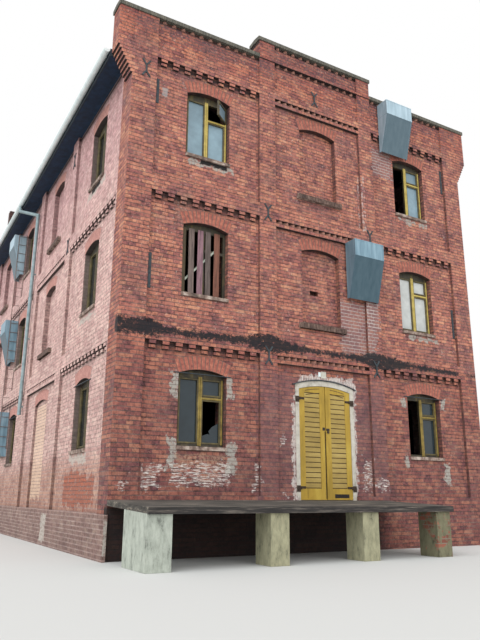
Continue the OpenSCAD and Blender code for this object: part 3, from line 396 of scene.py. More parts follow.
def side_marks(tree, wall, spot, depth, joints, colour):
    """Cream infill, plastered reveals, plaster, spalled bricks and a hole on the left wall, with painted
    shade in the reveals, the spalled hollows and the hole.
    """
    left = add(tree, "Math", (spot[0], 0.0), operation="LESS_THAN")
    bricks = add(tree, "Math", (joints, 0.8), operation="MULTIPLY")
    bricks = add(tree, "Math", (1.0, bricks), operation="SUBTRACT")
    # The bricked-up doorway is cream, but not its joints
    cream = add(tree, "Math", (depth, 0.09), operation="GREATER_THAN")
    cream = add(tree, "Math", (left, cream), operation="MULTIPLY")
    cream = add(tree, "Math", (cream, bricks), operation="MULTIPLY")
    cream = add(tree, "Math", (cream, 0.65), operation="MULTIPLY")
    colour = patched(tree, wall, colour, [on_side(5.05, 6.36, 0.95, 3.16)], "#dcc0a4", 0.6, 0.62, cream)
    # Plaster on the reveals of the windows, darkened with painted shade: their middles come round every 7.06
    # m
    beside = add(tree, "Math", (spot[1], MID_Y - 2.175), operation="ADD")
    beside = add(tree, "Math", (beside, 3.53), operation="PINGPONG")
    beside = add(tree, "Math", (beside, 0.6), operation="LESS_THAN")
    reveal = add(tree, "Math", (depth, 0.32), operation="GREATER_THAN")
    reveal = add(tree, "Math", (reveal, beside), operation="MULTIPLY")
    behind_face = add(tree, "Math", (spot[0], 0.08 - MID_X), operation="GREATER_THAN")
    reveal = add(tree, "Math", (reveal, behind_face), operation="MULTIPLY")
    reveal = add(tree, "Math", (reveal, left), operation="MULTIPLY")
    reveal = add(tree, "Math", (reveal, 0.7), operation="MULTIPLY")
    colour = add(tree, "Mix", {PART: reveal, FIRST: colour, SECOND: "#736d65"}, MIXED, data_type="RGBA")
    plaster = [on_side(3.79, 4.24, 0.1, 0.62), on_side(1.6, 2.75, 1.62, 1.78),
               on_side(1.6, 2.75, 4.5, 4.62), on_side(1.55, 2.8, 7.42, 7.56)]
    most = add(tree, "Math", (left, 0.9), operation="MULTIPLY")
    colour = patched(tree, wall, colour, plaster, "#b5aea4", 0.5, 0.58, most)
    # Frost has spalled the faces of bricks: hollows darkened with painted shade, with fresh clay between the
    # joints
    spalled = [on_side(1.0, 3.0, 0.8, 1.36), on_side(1.5, 3.0, 1.25, 1.46)]
    hollow = add(tree, "Math", (left, 0.75), operation="MULTIPLY")
    colour = patched(tree, wall, colour, spalled, "#54322c", 0.9, 0.6, hollow)
    fresh = add(tree, "Math", (left, bricks), operation="MULTIPLY")
    fresh = add(tree, "Math", (fresh, 0.9), operation="MULTIPLY")
    colour = patched(tree, wall, colour, spalled, "#ae634b", 0.9, 0.53, fresh)
    # Painted shade in the hole under the top sill
    return patched(tree, wall, colour, [on_side(1.9, 2.5, 7.48, 7.6)], "#241d1c", 0.2, 0.8, left)


def simple(name, stops, size, rough, metal=0.0, bump=0.002, stretch=(1, 1, 1), speckle=None, under=None):
    """Surface with blotches so many millimetres apart, drawn out where stretch is small, and a relief.

    The grain of these finishes is under 5 mm, too fine to show from this far. The size is that of their
    stains and blotches instead, and the relief is drawn five times finer.
    """
    made, tree, place = surface(name)
    drawn = add(tree, "Mapping", {"Vector": place, "Scale": stretch})
    blotches = add(tree, "TexNoise", {"Vector": drawn, "Scale": waves(size), "Detail": 6.0,
                                      "Roughness": 0.65})
    colour = add(tree, "ValToRGB", [blotches], stops=stops)
    if speckle:
        code, level = speckle
        spots = add(tree, "TexNoise", {"Vector": place, "Scale": waves(size / 7), "Detail": 4.0,
                                       "Roughness": 0.7})
        spots = add(tree, "ValToRGB", [spots], stops=[(level, 0.0), (level + 0.06, 1.0)])
        colour = add(tree, "Mix", {PART: spots, FIRST: colour, SECOND: code}, MIXED, data_type="RGBA")
    # Painted shade on the faces that look down
    if under:
        down = add(tree, "NewGeometry", out="Normal")
        down = add(tree, "SeparateXYZ", [down], 2)
        down = add(tree, "Math", (down, -0.3), operation="LESS_THAN")
        shade = add(tree, "TexNoise", {"Vector": place, "Scale": waves(size / 4), "Detail": 4.0,
                                       "Roughness": 0.6})
        shade = add(tree, "ValToRGB", [shade], stops=under)
        colour = add(tree, "Mix", {PART: down, FIRST: colour, SECOND: shade}, MIXED, data_type="RGBA")
    relief = add(tree, "TexNoise", {"Vector": drawn, "Scale": waves(size / 5), "Detail": 5.0,
                                    "Roughness": 0.65})
    return finished(made, colour, rough, metal, relief, bump)


def alone(obj):
    """Selects one object and nothing else."""
    bpy.ops.object.select_all(action="DESELECT")
    obj.select_set(True)
    bpy.context.view_layer.objects.active = obj


def settled(obj, place):
    """Puts a piece at its place and settles it in its mesh."""
    obj.matrix_world = place
    alone(obj)
    bpy.ops.object.transform_apply(location=True, rotation=True, scale=True)
    return obj


def block(low, high, bevel=0.004):
    """Square piece between two corners, with its edges worn round."""
    bpy.ops.object.select_all(action="DESELECT")
    low, high = Vector(low), Vector(high)
    bpy.ops.mesh.primitive_cube_add(size=1, location=(low + high) / 2)
    made = bpy.context.object
    made.scale = high - low
    bpy.ops.object.transform_apply(location=True, rotation=True, scale=True)
    if bevel:
        bpy.ops.object.mode_set(mode="EDIT")
        bpy.ops.mesh.select_all(action="SELECT")
        bpy.ops.mesh.bevel(offset=bevel, segments=1, affect="EDGES")
        bpy.ops.object.mode_set(mode="OBJECT")
    return made


def turned(obj, angle, axis, centre):
    """Turns a piece about a point."""
    turn = Matrix.Translation(centre) @ Matrix.Rotation(angle, 4, axis) @ Matrix.Translation(-Vector(centre))
    return settled(obj, turn @ obj.matrix_world)


def repeated(obj, count, step):
    """Repeats a piece along a step."""
    alone(obj)
    array = obj.modifiers.new("row", "ARRAY")
    array.count = count
    array.use_relative_offset = False
    array.use_constant_offset = True
    array.constant_offset_displace = step
    bpy.ops.object.modifier_apply(modifier=array.name)
    return obj


def joined(pieces):
    """Makes one object of several."""
    bpy.ops.object.select_all(action="DESELECT")
    for piece in pieces:
        piece.select_set(True)
    bpy.context.view_layer.objects.active = pieces[0]
    if len(pieces) > 1:
        bpy.ops.object.join()
    return bpy.context.object


def copied(obj, matrices):
    """Copies a piece, each copy with its own mesh, to each place, and joins them; the first one goes."""
    copies = []
    for matrix in matrices:
        copy = obj.copy()
        copy.data = obj.data.copy()
        bpy.context.collection.objects.link(copy)
        copy.matrix_world = matrix
        copies.append(copy)
    bpy.data.objects.remove(obj)
    made = joined(copies)
    bpy.ops.object.transform_apply(location=True, rotation=True, scale=True)
    return made


def placed(obj, name, material, body="building"):
    """Names a finished piece and gives it its material and its body."""
    obj.name = name
    obj.data.name = name
    obj.data.materials.clear()
    obj.data.materials.append(material)
    alone(obj)
    bpy.ops.object.shade_smooth_by_angle(angle=math.radians(35))
    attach(obj, body)
    return obj


def at(face, u=0.0, v=0.0, z=0.0):
    """Place on a face of the building: to the right, inwards and up."""
    return FACES[face] @ Matrix.Translation((u, v, z))


# Materials
ORANGE_RED = [(0.0, "#6e464a"), (0.25, "#985d58"), (0.5, "#b36f5f"), (0.75, "#c68068"), (1.0, "#d29676")]
# Bricks of the long walls: bleached by the sun, and painted paler for the brighter light that falls on them
PALE_RED = [(0.0, "#b58886"), (0.25, "#d1a59f"), (0.5, "#e1b7af"), (0.75, "#eac3b9"), (1.0, "#f3d2c5")]
# What each height of a wall is tinted with, from the ground up
FRONT_ZONES = [(0.0, "#c9c4cc"), (0.2, "#dad9df"), (0.33, "#eae2e2"), (0.36, "#ffffff"), (0.86, "#ffffff"),
               (0.9, "#fbe9e2"), (0.945, "#e4d2d6"), (0.985, "#e0d2d8"), (1.0, "#6a6364")]
# On the long walls the tint darkens towards the eaves: painted shade under the eaves
SIDE_ZONES = [(0.0, "#9a9893"), (0.063, "#a2a09a"), (0.068, "#cbbdad"), (0.13, "#d6cabc"), (0.17, "#eff0ee"),
              (0.55, "#ffffff"), (0.75, "#ebe0e8"), (1.0, "#e9dde6")]
# Dark and pale joints, then the colours of stains and of salt
RED_OTHERS = ("#4a3534", "#8c756d", "#6f5559", "#dfc8b8")
PALE_OTHERS = ("#a0847d", "#c9b3aa", "#b8918c", "#ecdcd0")

BRICK_FRONT = brickwork("fired brick of the front", ORANGE_RED, RED_OTHERS, FRONT_ZONES, front_marks)
BRICK_PLAIN = brickwork("fired brick", ORANGE_RED, RED_OTHERS, FRONT_ZONES)
BRICK_SIDE = brickwork("pale fired brick with painted light", PALE_RED, PALE_OTHERS, SIDE_ZONES, side_marks)

# Bricks laid on edge in the weather: rough, and grey-green with lichen in short crosswise blotches
COPING = simple("lichened brick on edge", [(0.3, "#34342f"), (0.5, "#5c5950"), (0.7, "#7d776a")], 111.1, 0.95,
                bump=0.006, stretch=(6, 1, 1))
# The clay of the walls fired less hard: matt and more orange than the bricks round it
VOUSSOIR = simple("fired arch brick", [(0.3, "#744440"), (0.5, "#a25e4f"), (0.7, "#bd7962")], 71.43, 0.92)
# The same bricks after years of sun, and painted paler for the brighter light on the long walls: pink and
# chalky
VOUSSOIR_PALE = simple("pale arch brick with painted light", [(0.3, "#a0706a"), (0.5, "#bb867c"), (0.7, "#cb9a8e")], 83.33,
                       0.92)
# Lime and sand pressed between the arch bricks: brown, dusty and darker than the brick
JOINT = simple("lime mortar", [(0.3, "#6b4b42"), (0.7, "#86655a")], 50, 0.95)
# Corners of bricks set askew: matt, and dulled by the painted shade between them
TOOTH = simple("sooty brick teeth", [(0.3, "#6e4f46"), (0.5, "#96685a"), (0.7, "#b08674")], 83.33, 0.93)
# Sill bricks on edge, painted dark for the shade that they lie in
SHADED_SILL_BRICK = simple("brick on edge in painted shade", [(0.3, "#3b2d29"), (0.5, "#5c4840"), (0.7, "#7c665b")], 100, 0.93)
# Poured concrete walked smooth: plain grey with wide, faint clouds
CONCRETE = simple("worn concrete", [(0.3, "#6d6b66"), (0.7, "#8a877f")], 333.3, 0.9)
# Sawn softwood boards, bare and dusty: long brown streaks that run across the building
PLANKING = simple("bare floor boards", [(0.3, "#6a563f"), (0.7, "#8b7354")], 333.3, 0.75, stretch=(0.3, 8, 1))
# Felt soaked in bitumen: nearly black, faded to grey on top and blue in the shade of the eaves
FELT = simple("bitumen roofing felt", [(0.3, "#1d2124"), (0.6, "#2c3135"), (0.8, "#3d4347")], 500, 0.85,
              under=[(0.3, "#0e2033"), (0.7, "#183350")])
# Boards brushed with tar: blue-black, with streaks along their length
SOFFIT = simple("tarred eaves boards", [(0.3, "#0d1720"), (0.7, "#1d2d3a")], 333.3, 0.8, stretch=(6, 0.5, 1))
# Rolled zinc under the sky, painted pale for the sky's glare on it: a half matt grey that hardly shines
ZINC = simple("zinc with painted sky glare", [(0.3, "#cbd7d7"), (0.6, "#dfe9e8"), (0.8, "#ebf1ef")], 200, 0.5, 0.1)
# Rolled zinc out of the sun: grey-green, with dull patches
PIPE = simple("weathered zinc", [(0.3, "#6a7c7f"), (0.6, "#8c9ea1"), (0.8, "#abbbbd")], 200, 0.5, 0.3)
# Concrete cast in boards and splashed with mud: pale layers between black ones
DOCK = simple("dirty concrete", [(0.3, "#1f1d1b"), (0.5, "#45413b"), (0.62, "#6f675d"), (0.75, "#a89c8c")],
              200, 0.92, bump=0.008, stretch=(0.25, 1.3, 4))
# Rolled steel angle, knocked by carts: brown-black rust with scraped, pale streaks along it
DOCK_IRON = simple("rusty edge iron", [(0.3, "#121110"), (0.5, "#2b2725"), (0.62, "#5b534c"),
                                       (0.74, "#9c9286")], 166.67, 0.8, stretch=(0.3, 1, 5))
# Lime render with many coats of wash: chalky white, with flakes that bare the brick
RENDER = simple("limewashed render", [(0.3, "#958e83"), (0.45, "#b9b3a7"), (0.65, "#cac5b9")], 166.67, 0.9,
                bump=0.005, speckle=("#96796f", 0.64))
# Linseed oil paint brushed down planed pine: mustard, half matt, worn to the wood in specks
MUSTARD = simple("oil paint on pine", [(0.3, "#8f741f"), (0.5, "#a9892b"), (0.7, "#b99d3d")], 200, 0.55,
                 stretch=(1, 1, 0.25), speckle=("#7b6236", 0.66))
# The same paint on slats that lie open to the rain: paler, browner and more matt
SLAT = simple("faded oil paint on slats", [(0.3, "#897236"), (0.5, "#a08745"), (0.7, "#b19957")], 200, 0.6,
              stretch=(0.3, 1, 1))
# Painted shade in the mouldings and between the slats: dark brown lines
GROOVE_SHADE = simple("painted shade in the grooves", [(0.3, "#2f2112"), (0.7, "#4c381d")], 83.33, 0.8)
# Iron forged by hand and rusted: brown, pitted, without shine
HINGE = simple("rusty wrought iron", [(0.3, "#2c241f"), (0.6, "#46382d"), (0.8, "#65503c")], 33.33, 0.75, 0.4)
# Rolled steel, blackened and handled: dark, with a faint shine
STEEL = simple("blackened steel", [(0.3, "#231e1c"), (0.7, "#453c37")], 40, 0.6, 0.4)
# Oil paint that flakes off upright oak bars: olive scraps on nearly black wood
OLIVE = simple("flaking oil paint on oak", [(0.3, "#221f1b"), (0.52, "#3d3626"), (0.72, "#6b5c30")], 111.1,
               0.65, stretch=(1, 1, 0.3))
# Oil paint on pine sashes: olive-brown and half matt
SASH = simple("oil paint on sashes", [(0.3, "#3b3424"), (0.5, "#554b2c"), (0.7, "#706338")], 111.1, 0.6)
# A newer coat of oil paint: yellow, smooth, a little glossier
YELLOW = simple("oil paint on mullions", [(0.3, "#9c8740"), (0.5, "#b7a150"), (0.7, "#c9b566")], 111.1, 0.55)
# The same coat low down, where hands and splashes dirtied it
OCHRE = simple("dirty oil paint on mullions", [(0.3, "#5f4f22"), (0.5, "#85702f"), (0.7, "#9c8640")],
               111.1, 0.6)
# Lime plaster trowelled over sill bricks: pale scabs left between dark ones
SILL = simple("worn plastered sills", [(0.35, "#4e423a"), (0.5, "#857065"), (0.66, "#bcada0")], 142.86, 0.92,
              bump=0.006)
# Painted shade in hollows and gaps: black, without any shine
DARK = simple("painted shade in hollows", [(0.3, "#0d0d0d"), (0.7, "#1a1918")], 166.67, 0.95)
# Painted steel gone to chalk: matt off-white
PLATE = simple("chalked plate", [(0.3, "#b5b2a6"), (0.7, "#d0ccbe")], 50, 0.8)
# Sawn spruce bleached by the weather: dry and greenish grey
LATH = simple("bleached lath", [(0.3, "#7d8377"), (0.7, "#abaea1")], 83.33, 0.85)
# Drawn steel rod under light rust: a warm, rough grey
RUNG = simple("rusty rod", [(0.3, "#64544f"), (0.6, "#88766f"), (0.8, "#a3938b")], 71.43, 0.75, 0.3)
# Forged iron with its scale still on: dark grey with a slight gleam
IRON = simple("dark forged iron", [(0.3, "#2a2e31"), (0.6, "#42494e"), (0.8, "#62625e")], 71.43, 0.7, 0.3)


def plank_wood():
    """Softwood boards left out in the rain: silvery or brown, with the grain standing up."""
    made, tree, place = surface("weathered planks")
    # Each of the five planks has aged in its own grey, brown or red
    across = add(tree, "SeparateXYZ", [place])
    across = add(tree, "Math", (across, LEFT_WINDOW - 0.53 - MID_X), operation="SUBTRACT")
    across = add(tree, "Math", (across, 0.9125), operation="DIVIDE")
    aged = add(tree, "ValToRGB", [across], stops=[(0.0, "#594d39"), (0.2, "#786761"), (0.4, "#8f6c74"),
                                                  (0.6, "#665853"), (0.8, "#7f5242")])
    aged.node.color_ramp.interpolation = "CONSTANT"
    # Grain of about 4 mm is too fine to show, so it is drawn 22 mm wide and 450 mm long
    drawn = add(tree, "Mapping", {"Vector": place, "Scale": (5, 1, 0.25)})
    grain = add(tree, "TexNoise", {"Vector": drawn, "Scale": waves(111.1), "Detail": 6.0,
                                   "Roughness": 0.75})
    grain = add(tree, "ValToRGB", [grain], stops=[(0.36, 0.35), (0.56, 1.0)])
    tone = add(tree, "Mix", {PART: 1.0, FIRST: aged, SECOND: grain}, MIXED, data_type="RGBA",
               blend_type="MULTIPLY")
    return finished(made, tone, 0.85)


def sheet_metal():
    """Folded sheet steel, hot-dip galvanised: dull blue-grey, with streaks of rain and undersides in painted
    shade.
    """
    made, tree, place = surface("galvanised sheet steel")
    # Streaks of rain, about 80 mm wide and 700 mm long
    drawn = add(tree, "Mapping", {"Vector": place, "Scale": (5, 5, 0.6)})
    streaks = add(tree, "TexNoise", {"Vector": drawn, "Scale": waves(416.7), "Detail": 5.0,
                                     "Roughness": 0.6})
    tone = add(tree, "ValToRGB", [streaks], stops=[(0.3, "#75919f"), (0.5, "#8faab8"), (0.7, "#a9c1cd")])
    facing = add(tree, "NewGeometry", out="Normal")
    facing = add(tree, "SeparateXYZ", [facing], None)
    spot = add(tree, "SeparateXYZ", [place], None)
    # Painted shade on the undersides, and a little on the left cheeks of the front hoods
    hood_shade = add(tree, "MapRange", (facing[2], -0.1, -0.25, 0.0, 0.8))
    cheek = add(tree, "Math", (facing[0], -0.5), operation="LESS_THAN")
    before_front = add(tree, "Math", (spot[1], -MID_Y), operation="LESS_THAN")
    cheek = add(tree, "Math", (cheek, before_front), operation="MULTIPLY")
    cheek = add(tree, "Math", (cheek, 0.3), operation="MULTIPLY")
    hood_shade = add(tree, "Math", (hood_shade, cheek), operation="MAXIMUM")
    # The hoods above 7.4 m are paler than the others
    high_up = metres_ramp(tree, spot[2], [(7.4, 0.0), (7.6, 0.22)])
    bright = add(tree, "Mix", {PART: high_up, FIRST: tone, SECOND: "#e4f2f8"}, MIXED, data_type="RGBA")
    dulled = add(tree, "ValToRGB", [high_up], stops=[(0.0, "#dde5e8"), (0.2, "#ffffff")])
    tone = add(tree, "Mix", {PART: 1.0, FIRST: bright, SECOND: dulled}, MIXED, data_type="RGBA",
               blend_type="MULTIPLY")
    tone = add(tree, "Mix", {PART: hood_shade, FIRST: tone, SECOND: "#2b444f"}, MIXED, data_type="RGBA")
    return finished(made, tone, 0.45, 0.3)


def pier_wash():
    """Limewash brushed on brick piers: chalky, cold white at the left and dirty cream further on."""
    made, tree, place = surface("limewash on masonry")
    spot = add(tree, "SeparateXYZ", [place], None)
    drawn = add(tree, "Mapping", {"Vector": place, "Scale": (1.8, 1.8, 0.7)})
    streaks = add(tree, "TexNoise", {"Vector": drawn, "Scale": waves(200), "Detail": 6.0,
                                     "Roughness": 0.75})
    tone = add(tree, "ValToRGB", [streaks], stops=[(0.32, "#5c5f58"), (0.42, "#959a8f"), (0.6, "#b0b5a9")])
    further = add(tree, "MapRange", (spot[0], -3.9, -2.6, 0.0, 0.85))
    cream = add(tree, "Mix", {PART: 1.0, FIRST: tone, SECOND: "#e6d8b6"}, MIXED, data_type="RGBA",
                blend_type="MULTIPLY")
    tone = add(tree, "Mix", {PART: further, FIRST: tone, SECOND: cream}, MIXED, data_type="RGBA")
    # The last pier is greyer, and its wash has fallen off some of its bricks
    across = add(tree, "Math", (spot[0], spot[1]), operation="ADD")
    flat = add(tree, "CombineXYZ", (across, spot[2]))
    bricks = add(tree, "TexBrick", {"Vector": flat, "Color1": "#70392f", "Color2": "#a5604c",
                                    "Mortar": "#7d776b", "Scale": 1.0, "Mortar Size": 0.008,
                                    "Brick Width": 0.25, "Row Height": COURSE})
    last = add(tree, "Math", (spot[0], 0.6), operation="GREATER_THAN")
    greyer = add(tree, "Mix", {PART: 1.0, FIRST: tone, SECOND: "#c2c1bb"}, MIXED, data_type="RGBA",
                 blend_type="MULTIPLY")
    tone = add(tree, "Mix", {PART: last, FIRST: tone, SECOND: greyer}, MIXED, data_type="RGBA")
    bare = add(tree, "TexNoise", {"Vector": place, "Scale": waves(285.7), "Detail": 5.0, "Roughness": 0.75})
    bare = add(tree, "ValToRGB", [bare], stops=[(0.53, 0.0), (0.57, 0.9)])
    bare = add(tree, "Math", (last, bare), operation="MULTIPLY")
    tone = add(tree, "Mix", {PART: bare, FIRST: tone, SECOND: bricks}, MIXED, data_type="RGBA")
    relief = add(tree, "TexNoise", {"Vector": drawn, "Scale": waves(45.45), "Detail": 5.0,
                                    "Roughness": 0.65})
    return finished(made, tone, 0.93, 0.0, relief, 0.008)


def glass_material():
    """Old drawn window glass under dust, smooth, with painted reflections and shade: dark below and paler
    from the first floor up.
    """
    made, tree, place = surface("dusty drawn glass")
    spot = add(tree, "SeparateXYZ", [place], None)
    tone = metres_ramp(tree, spot[2], [(0.0, "#262f33"), (3.8, "#2f3b41"), (4.2, "#c2c5c2"),
                                       (6.4, "#cfd1cd"), (7.0, "#7c929e"), (8.0, "#8fa9b5"),
                                       (10.0, "#5f717b")])
    # Painted shade: the panes of the long walls look into the dark rooms
    long_wall = add(tree, "Math", [spot[0]], operation="ABSOLUTE")
    long_wall = add(tree, "Math", (long_wall, MID_X - 0.4), operation="GREATER_THAN")
    tone = add(tree, "Mix", {PART: long_wall, FIRST: tone, SECOND: "#20262a"}, MIXED, data_type="RGBA")
    smears = add(tree, "TexNoise", {"Vector": place, "Scale": waves(333.3), "Detail": 4.0,
                                    "Roughness": 0.6})
    smears = add(tree, "ValToRGB", [smears], stops=[(0.3, 0.7), (0.7, 1.0)])
    tone = add(tree, "Mix", {PART: 1.0, FIRST: tone, SECOND: smears}, MIXED, data_type="RGBA",
               blend_type="MULTIPLY")
    return finished(made, tone, 0.12)


GLASS = glass_material()
PLANK = plank_wood()
SHEET = sheet_metal()
WHITEWASH = pier_wash()

NODE_MATERIALS = {
    BRICK_FRONT: ["front_wall_left", "front_wall_right", "front_wall_over_door", "front_wall_under_door",
                  "front_parapet"],
    BRICK_PLAIN: ["back_wall", "back_parapet", "chimney"],
    BRICK_SIDE: ["left_wall", "right_wall"],
    COPING: ["front_coping", "back_coping"],
    CONCRETE: ["ground_floor"],
    PLANKING: ["first_floor", "second_floor"],
    FELT: ["left_roof", "right_roof"],
    SOFFIT: ["fascia_boards"],
    ZINC: ["left_gutter", "right_gutter"],
    PIPE: ["left_downpipe", "right_downpipe"],
    DOCK: ["dock_slab"],
    DOCK_IRON: ["dock_edge"],
    WHITEWASH: ["dock_piers"],
    RENDER: ["door_jamb_left", "door_jamb_right", "door_arch"],
    MUSTARD: ["door_leaf_left", "door_leaf_right"],
    HINGE: ["strap_hinges_left", "strap_hinges_right", "door_pintles"],
    STEEL: ["door_staple", "door_hasp"],
    OLIVE: ["front_window_frames", "left_window_frames", "right_window_frames", "back_window_frames"],
    GLASS: ["front_window_glass", "left_window_glass", "right_window_glass", "back_window_glass"],
    PLANK: ["window_planks"],
    SILL: ["window_sills"],
    SHEET: ["front_hoods", "left_hoods"],
    IRON: ["wall_anchors"],
    RUNG: ["wall_ladder"],
}
for material, names in NODE_MATERIALS.items():
    for name in names:
        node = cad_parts[name]
        node.data.materials.clear()
        node.data.materials.append(material)

# Friezes: two header bricks on each other make a dentil
WINDOW_BAYS = {"front": [FRONT_BAYS[0], FRONT_BAYS[2]], "back": [FRONT_BAYS[0], FRONT_BAYS[2]],
               "left": SIDE_BAYS[::2], "right": SIDE_BAYS[::2]}
BLIND_BAYS = {"front": [FRONT_BAYS[1]], "back": [FRONT_BAYS[1]], "left": SIDE_BAYS[1::2],
              "right": SIDE_BAYS[1::2]}


def dentil_row(width):
    """Row of dentils that fills a bay, its top at z = 0 and the panel's face at RECESS."""
    pitch = BRICK_L if width < 3 else 0.2485
    count = int((width - 0.125) / pitch) + 1
    first = (width - (count - 1) * pitch) / 2
    deep = RECESS + 0.005
    low = block((first - 0.064, RECESS - 0.04, -2 * COURSE + 0.008), (first + 0.064, deep, -COURSE - 0.007))
    high = block((first - 0.07, 0.003, -COURSE + 0.007), (first + 0.07, deep, -0.004))
    return repeated(joined([low, high]), count, (pitch, 0, 0))


def tooth_row(width, pitch, side, depth):
    """Row of bricks set at 45 degrees with their corners at the wall's face."""
    count = int((width - pitch) / pitch) + 1
    first = (width - (count - 1) * pitch) / 2
    half = side / 2
    tooth = block((first - half, depth - half, -COURSE + 0.006), (first + half, depth + half, -0.006), 0.003)
    turned(tooth, math.pi / 4, "Z", (first, depth, 0))
    return repeated(tooth, count, (pitch, 0, 0))


for group, own in ((("front", "back"), BRICK_PLAIN), (("left", "right"), BRICK_SIDE)):
    width = WINDOW_BAYS[group[0]][0][1]
    heights = FRIEZES if own is BRICK_PLAIN else FRIEZES[:2]
    spots = [at(face, bay[0], 0, z) for face in group for bay in WINDOW_BAYS[face] for z in heights]
    placed(copied(dentil_row(width), spots), f"dentils_{group[0]}", own)
    width = BLIND_BAYS[group[0]][0][1]
    spots = [at(face, bay[0], 0, z) for face in group for bay in BLIND_BAYS[face] for z in heights]
    placed(copied(tooth_row(width, 0.161, 0.112, 0.081), spots), f"dog_teeth_{group[0]}",
           TOOTH if own is BRICK_PLAIN else own)

for name, width, spots in (
        ("parapet_teeth", FRONT_BAYS[0][1], [(b[0], COPE_Z) for b in FRONT_BAYS[::2]]),
        ("attic_teeth", FRONT_BAYS[1][1], [(FRONT_BAYS[1][0], COPE_Z), (FRONT_BAYS[1][0], ATTIC_Z)])):
    row = tooth_row(width, 0.212, 0.07, 0.06)
    placed(copied(row, [at(f, u, 0, z) for f in ("front", "back") for u, z in spots]), name, TOOTH)


def arc_of(width, rise):
    """Radius, centre and half angle of an arch whose springing is at z = 0."""
    radius = (width * width / 4 + rise * rise) / (2 * rise)
    return radius, Vector((0, 0, rise - radius)), math.asin(width / 2 / radius)


def spun(obj, centre, angle, steps, copies):
    """Spins a piece about the depth axis, as copies or as one swept solid."""
    alone(obj)
    bpy.ops.object.mode_set(mode="EDIT")
    bpy.ops.mesh.select_all(action="SELECT")
    bpy.ops.mesh.spin(steps=steps, dupli=copies, angle=-angle, center=centre, axis=(0, 1, 0))
    bpy.ops.mesh.select_all(action="SELECT")
    bpy.ops.mesh.remove_doubles(threshold=0.0001)
    bpy.ops.mesh.normals_make_consistent(inside=False)
    bpy.ops.object.mode_set(mode="OBJECT")
    return obj


def arch_bricks(width, rise):
    """Bricks on end round an arch, 2.5 mm proud of the panel's face."""
    height = 0.25
    radius, centre, half = arc_of(width, rise)
    count = round(2 * half * (radius + 0.02) / COURSE)
    step = 2 * half / count
    brick = block((-0.034, RECESS - 0.0025, rise + 0.003), (0.034, RECESS + 0.02, rise + height))
    turned(brick, -half + step / 2, "Y", centre)
    return spun(brick, centre, step * (count - 1), count - 1, True)


def swept(width, rise, low, high, front, back, span=None):
    """Band that follows an arch, between two heights over its edge, two depths and two places across."""
    radius, centre, half = arc_of(width, rise)
    start, end = (math.asin(x / radius) for x in span or (-width / 2, width / 2))
    bpy.ops.object.select_all(action="DESELECT")
    bpy.ops.mesh.primitive_plane_add(size=1)
    band = bpy.context.object
    band.scale = (high - low, back - front, 1)
    band.rotation_euler = (0, math.pi / 2, 0)
    band.location = (0, (front + back) / 2, rise + (low + high) / 2)
    bpy.ops.object.transform_apply(location=True, rotation=True, scale=True)
    turned(band, start, "Y", centre)
    return spun(band, centre, end - start, 16, False)


# Arches over windows, bricked-up windows and the bricked-up doorways
def middles(bays):
    """Middles of bays, from the face's left corner."""
    return [start + width / 2 for start, width in bays]


DOORWAY_FACES = {"front": [], "back": ["back"], "left": ["left", "right"]}
for group, own in ((("front",), VOUSSOIR), (("back",), VOUSSOIR), (("left", "right"), VOUSSOIR_PALE)):
    arches = {
        "window": (WINDOW_W, [at(f, u, 0, z) for f in group for u in middles(WINDOW_BAYS[f])
                              for z in SPRINGS]),
        "blind": (BLIND_W, [at(f, u, 0, z) for f in group for u in middles(BLIND_BAYS[f])
                            for z in SPRINGS[1:]]),
        "doorway": (LEAVES_W, [at(f, u, 0, SPRINGS[0]) for f in DOORWAY_FACES[group[0]]
                               for u in middles(BLIND_BAYS[f])]),
    }
    for kind, (width, spots) in arches.items():
        if spots:
            placed(copied(arch_bricks(width, ARCH_RISE), spots), f"{kind}_arch_bricks_{group[0]}", own)
            bed = swept(width, ARCH_RISE, 0.001, 0.254, RECESS - 0.0008, RECESS + 0.02)
            placed(copied(bed, spots), f"{kind}_arch_joints_{group[0]}", JOINT)

# Bricks on edge on the sills of the bricked-up windows
sill_bricks = block((-0.59, RECESS - 0.083, -0.11), (-0.525, RECESS + 0.004, 0.004))
repeated(sill_bricks, 16, (0.0745, 0, 0))
spots = [at(f, u, 0, z - 21 * COURSE) for f in FACES for u in middles(BLIND_BAYS[f]) for z in SPRINGS[1:]]
# The blind sills are dark with painted shade
placed(copied(sill_bricks, spots), "blind_sill_bricks", SHADED_SILL_BRICK)


def ring(left, right, low, high, front, back, bar):
    """Sash of four bars."""
    return joined([
        block((left, front, low), (left + bar, back, high)),
        block((right - bar, front, low), (right, back, high)),
        block((left + bar, front + 0.002, low), (right - bar, back, low + bar)),
        block((left + bar, front + 0.002, high - bar), (right - bar, back, high))])


# Sashes: each window has a tall left one, and a right one under a small vent
WHOLE = ("left", "right", "vent")
BAR = 0.055
LIGHT = (WINDOW_W - 3 * BAR) / 2
SASH_GAP = 0.003


def transom_z(s):
    """Height of the transom of a window on one floor."""
    return SPRINGS[s] - BAR - 0.27 * (SPRINGS[s] - SILLS[s])


def sashes(face, middle, s, which=WHOLE):
    """The sashes of one window, just in front of its panes."""
    low, high = SILLS[s] + BAR + SASH_GAP, SPRINGS[s] - BAR - SASH_GAP
    near, far = BAR / 2 + SASH_GAP, BAR / 2 + LIGHT - SASH_GAP
    transom = transom_z(s)
    front, back = FRAME_Y - 0.008, FRAME_Y + 0.029
    limits = {"left": (-far, -near, low, high), "right": (near, far, low, transom - near),
              "vent": (near, far, transom + near, high)}
    made = joined([ring(*limits[name], front, back, 0.03) for name in which])
    return settled(made, at(face, middle))


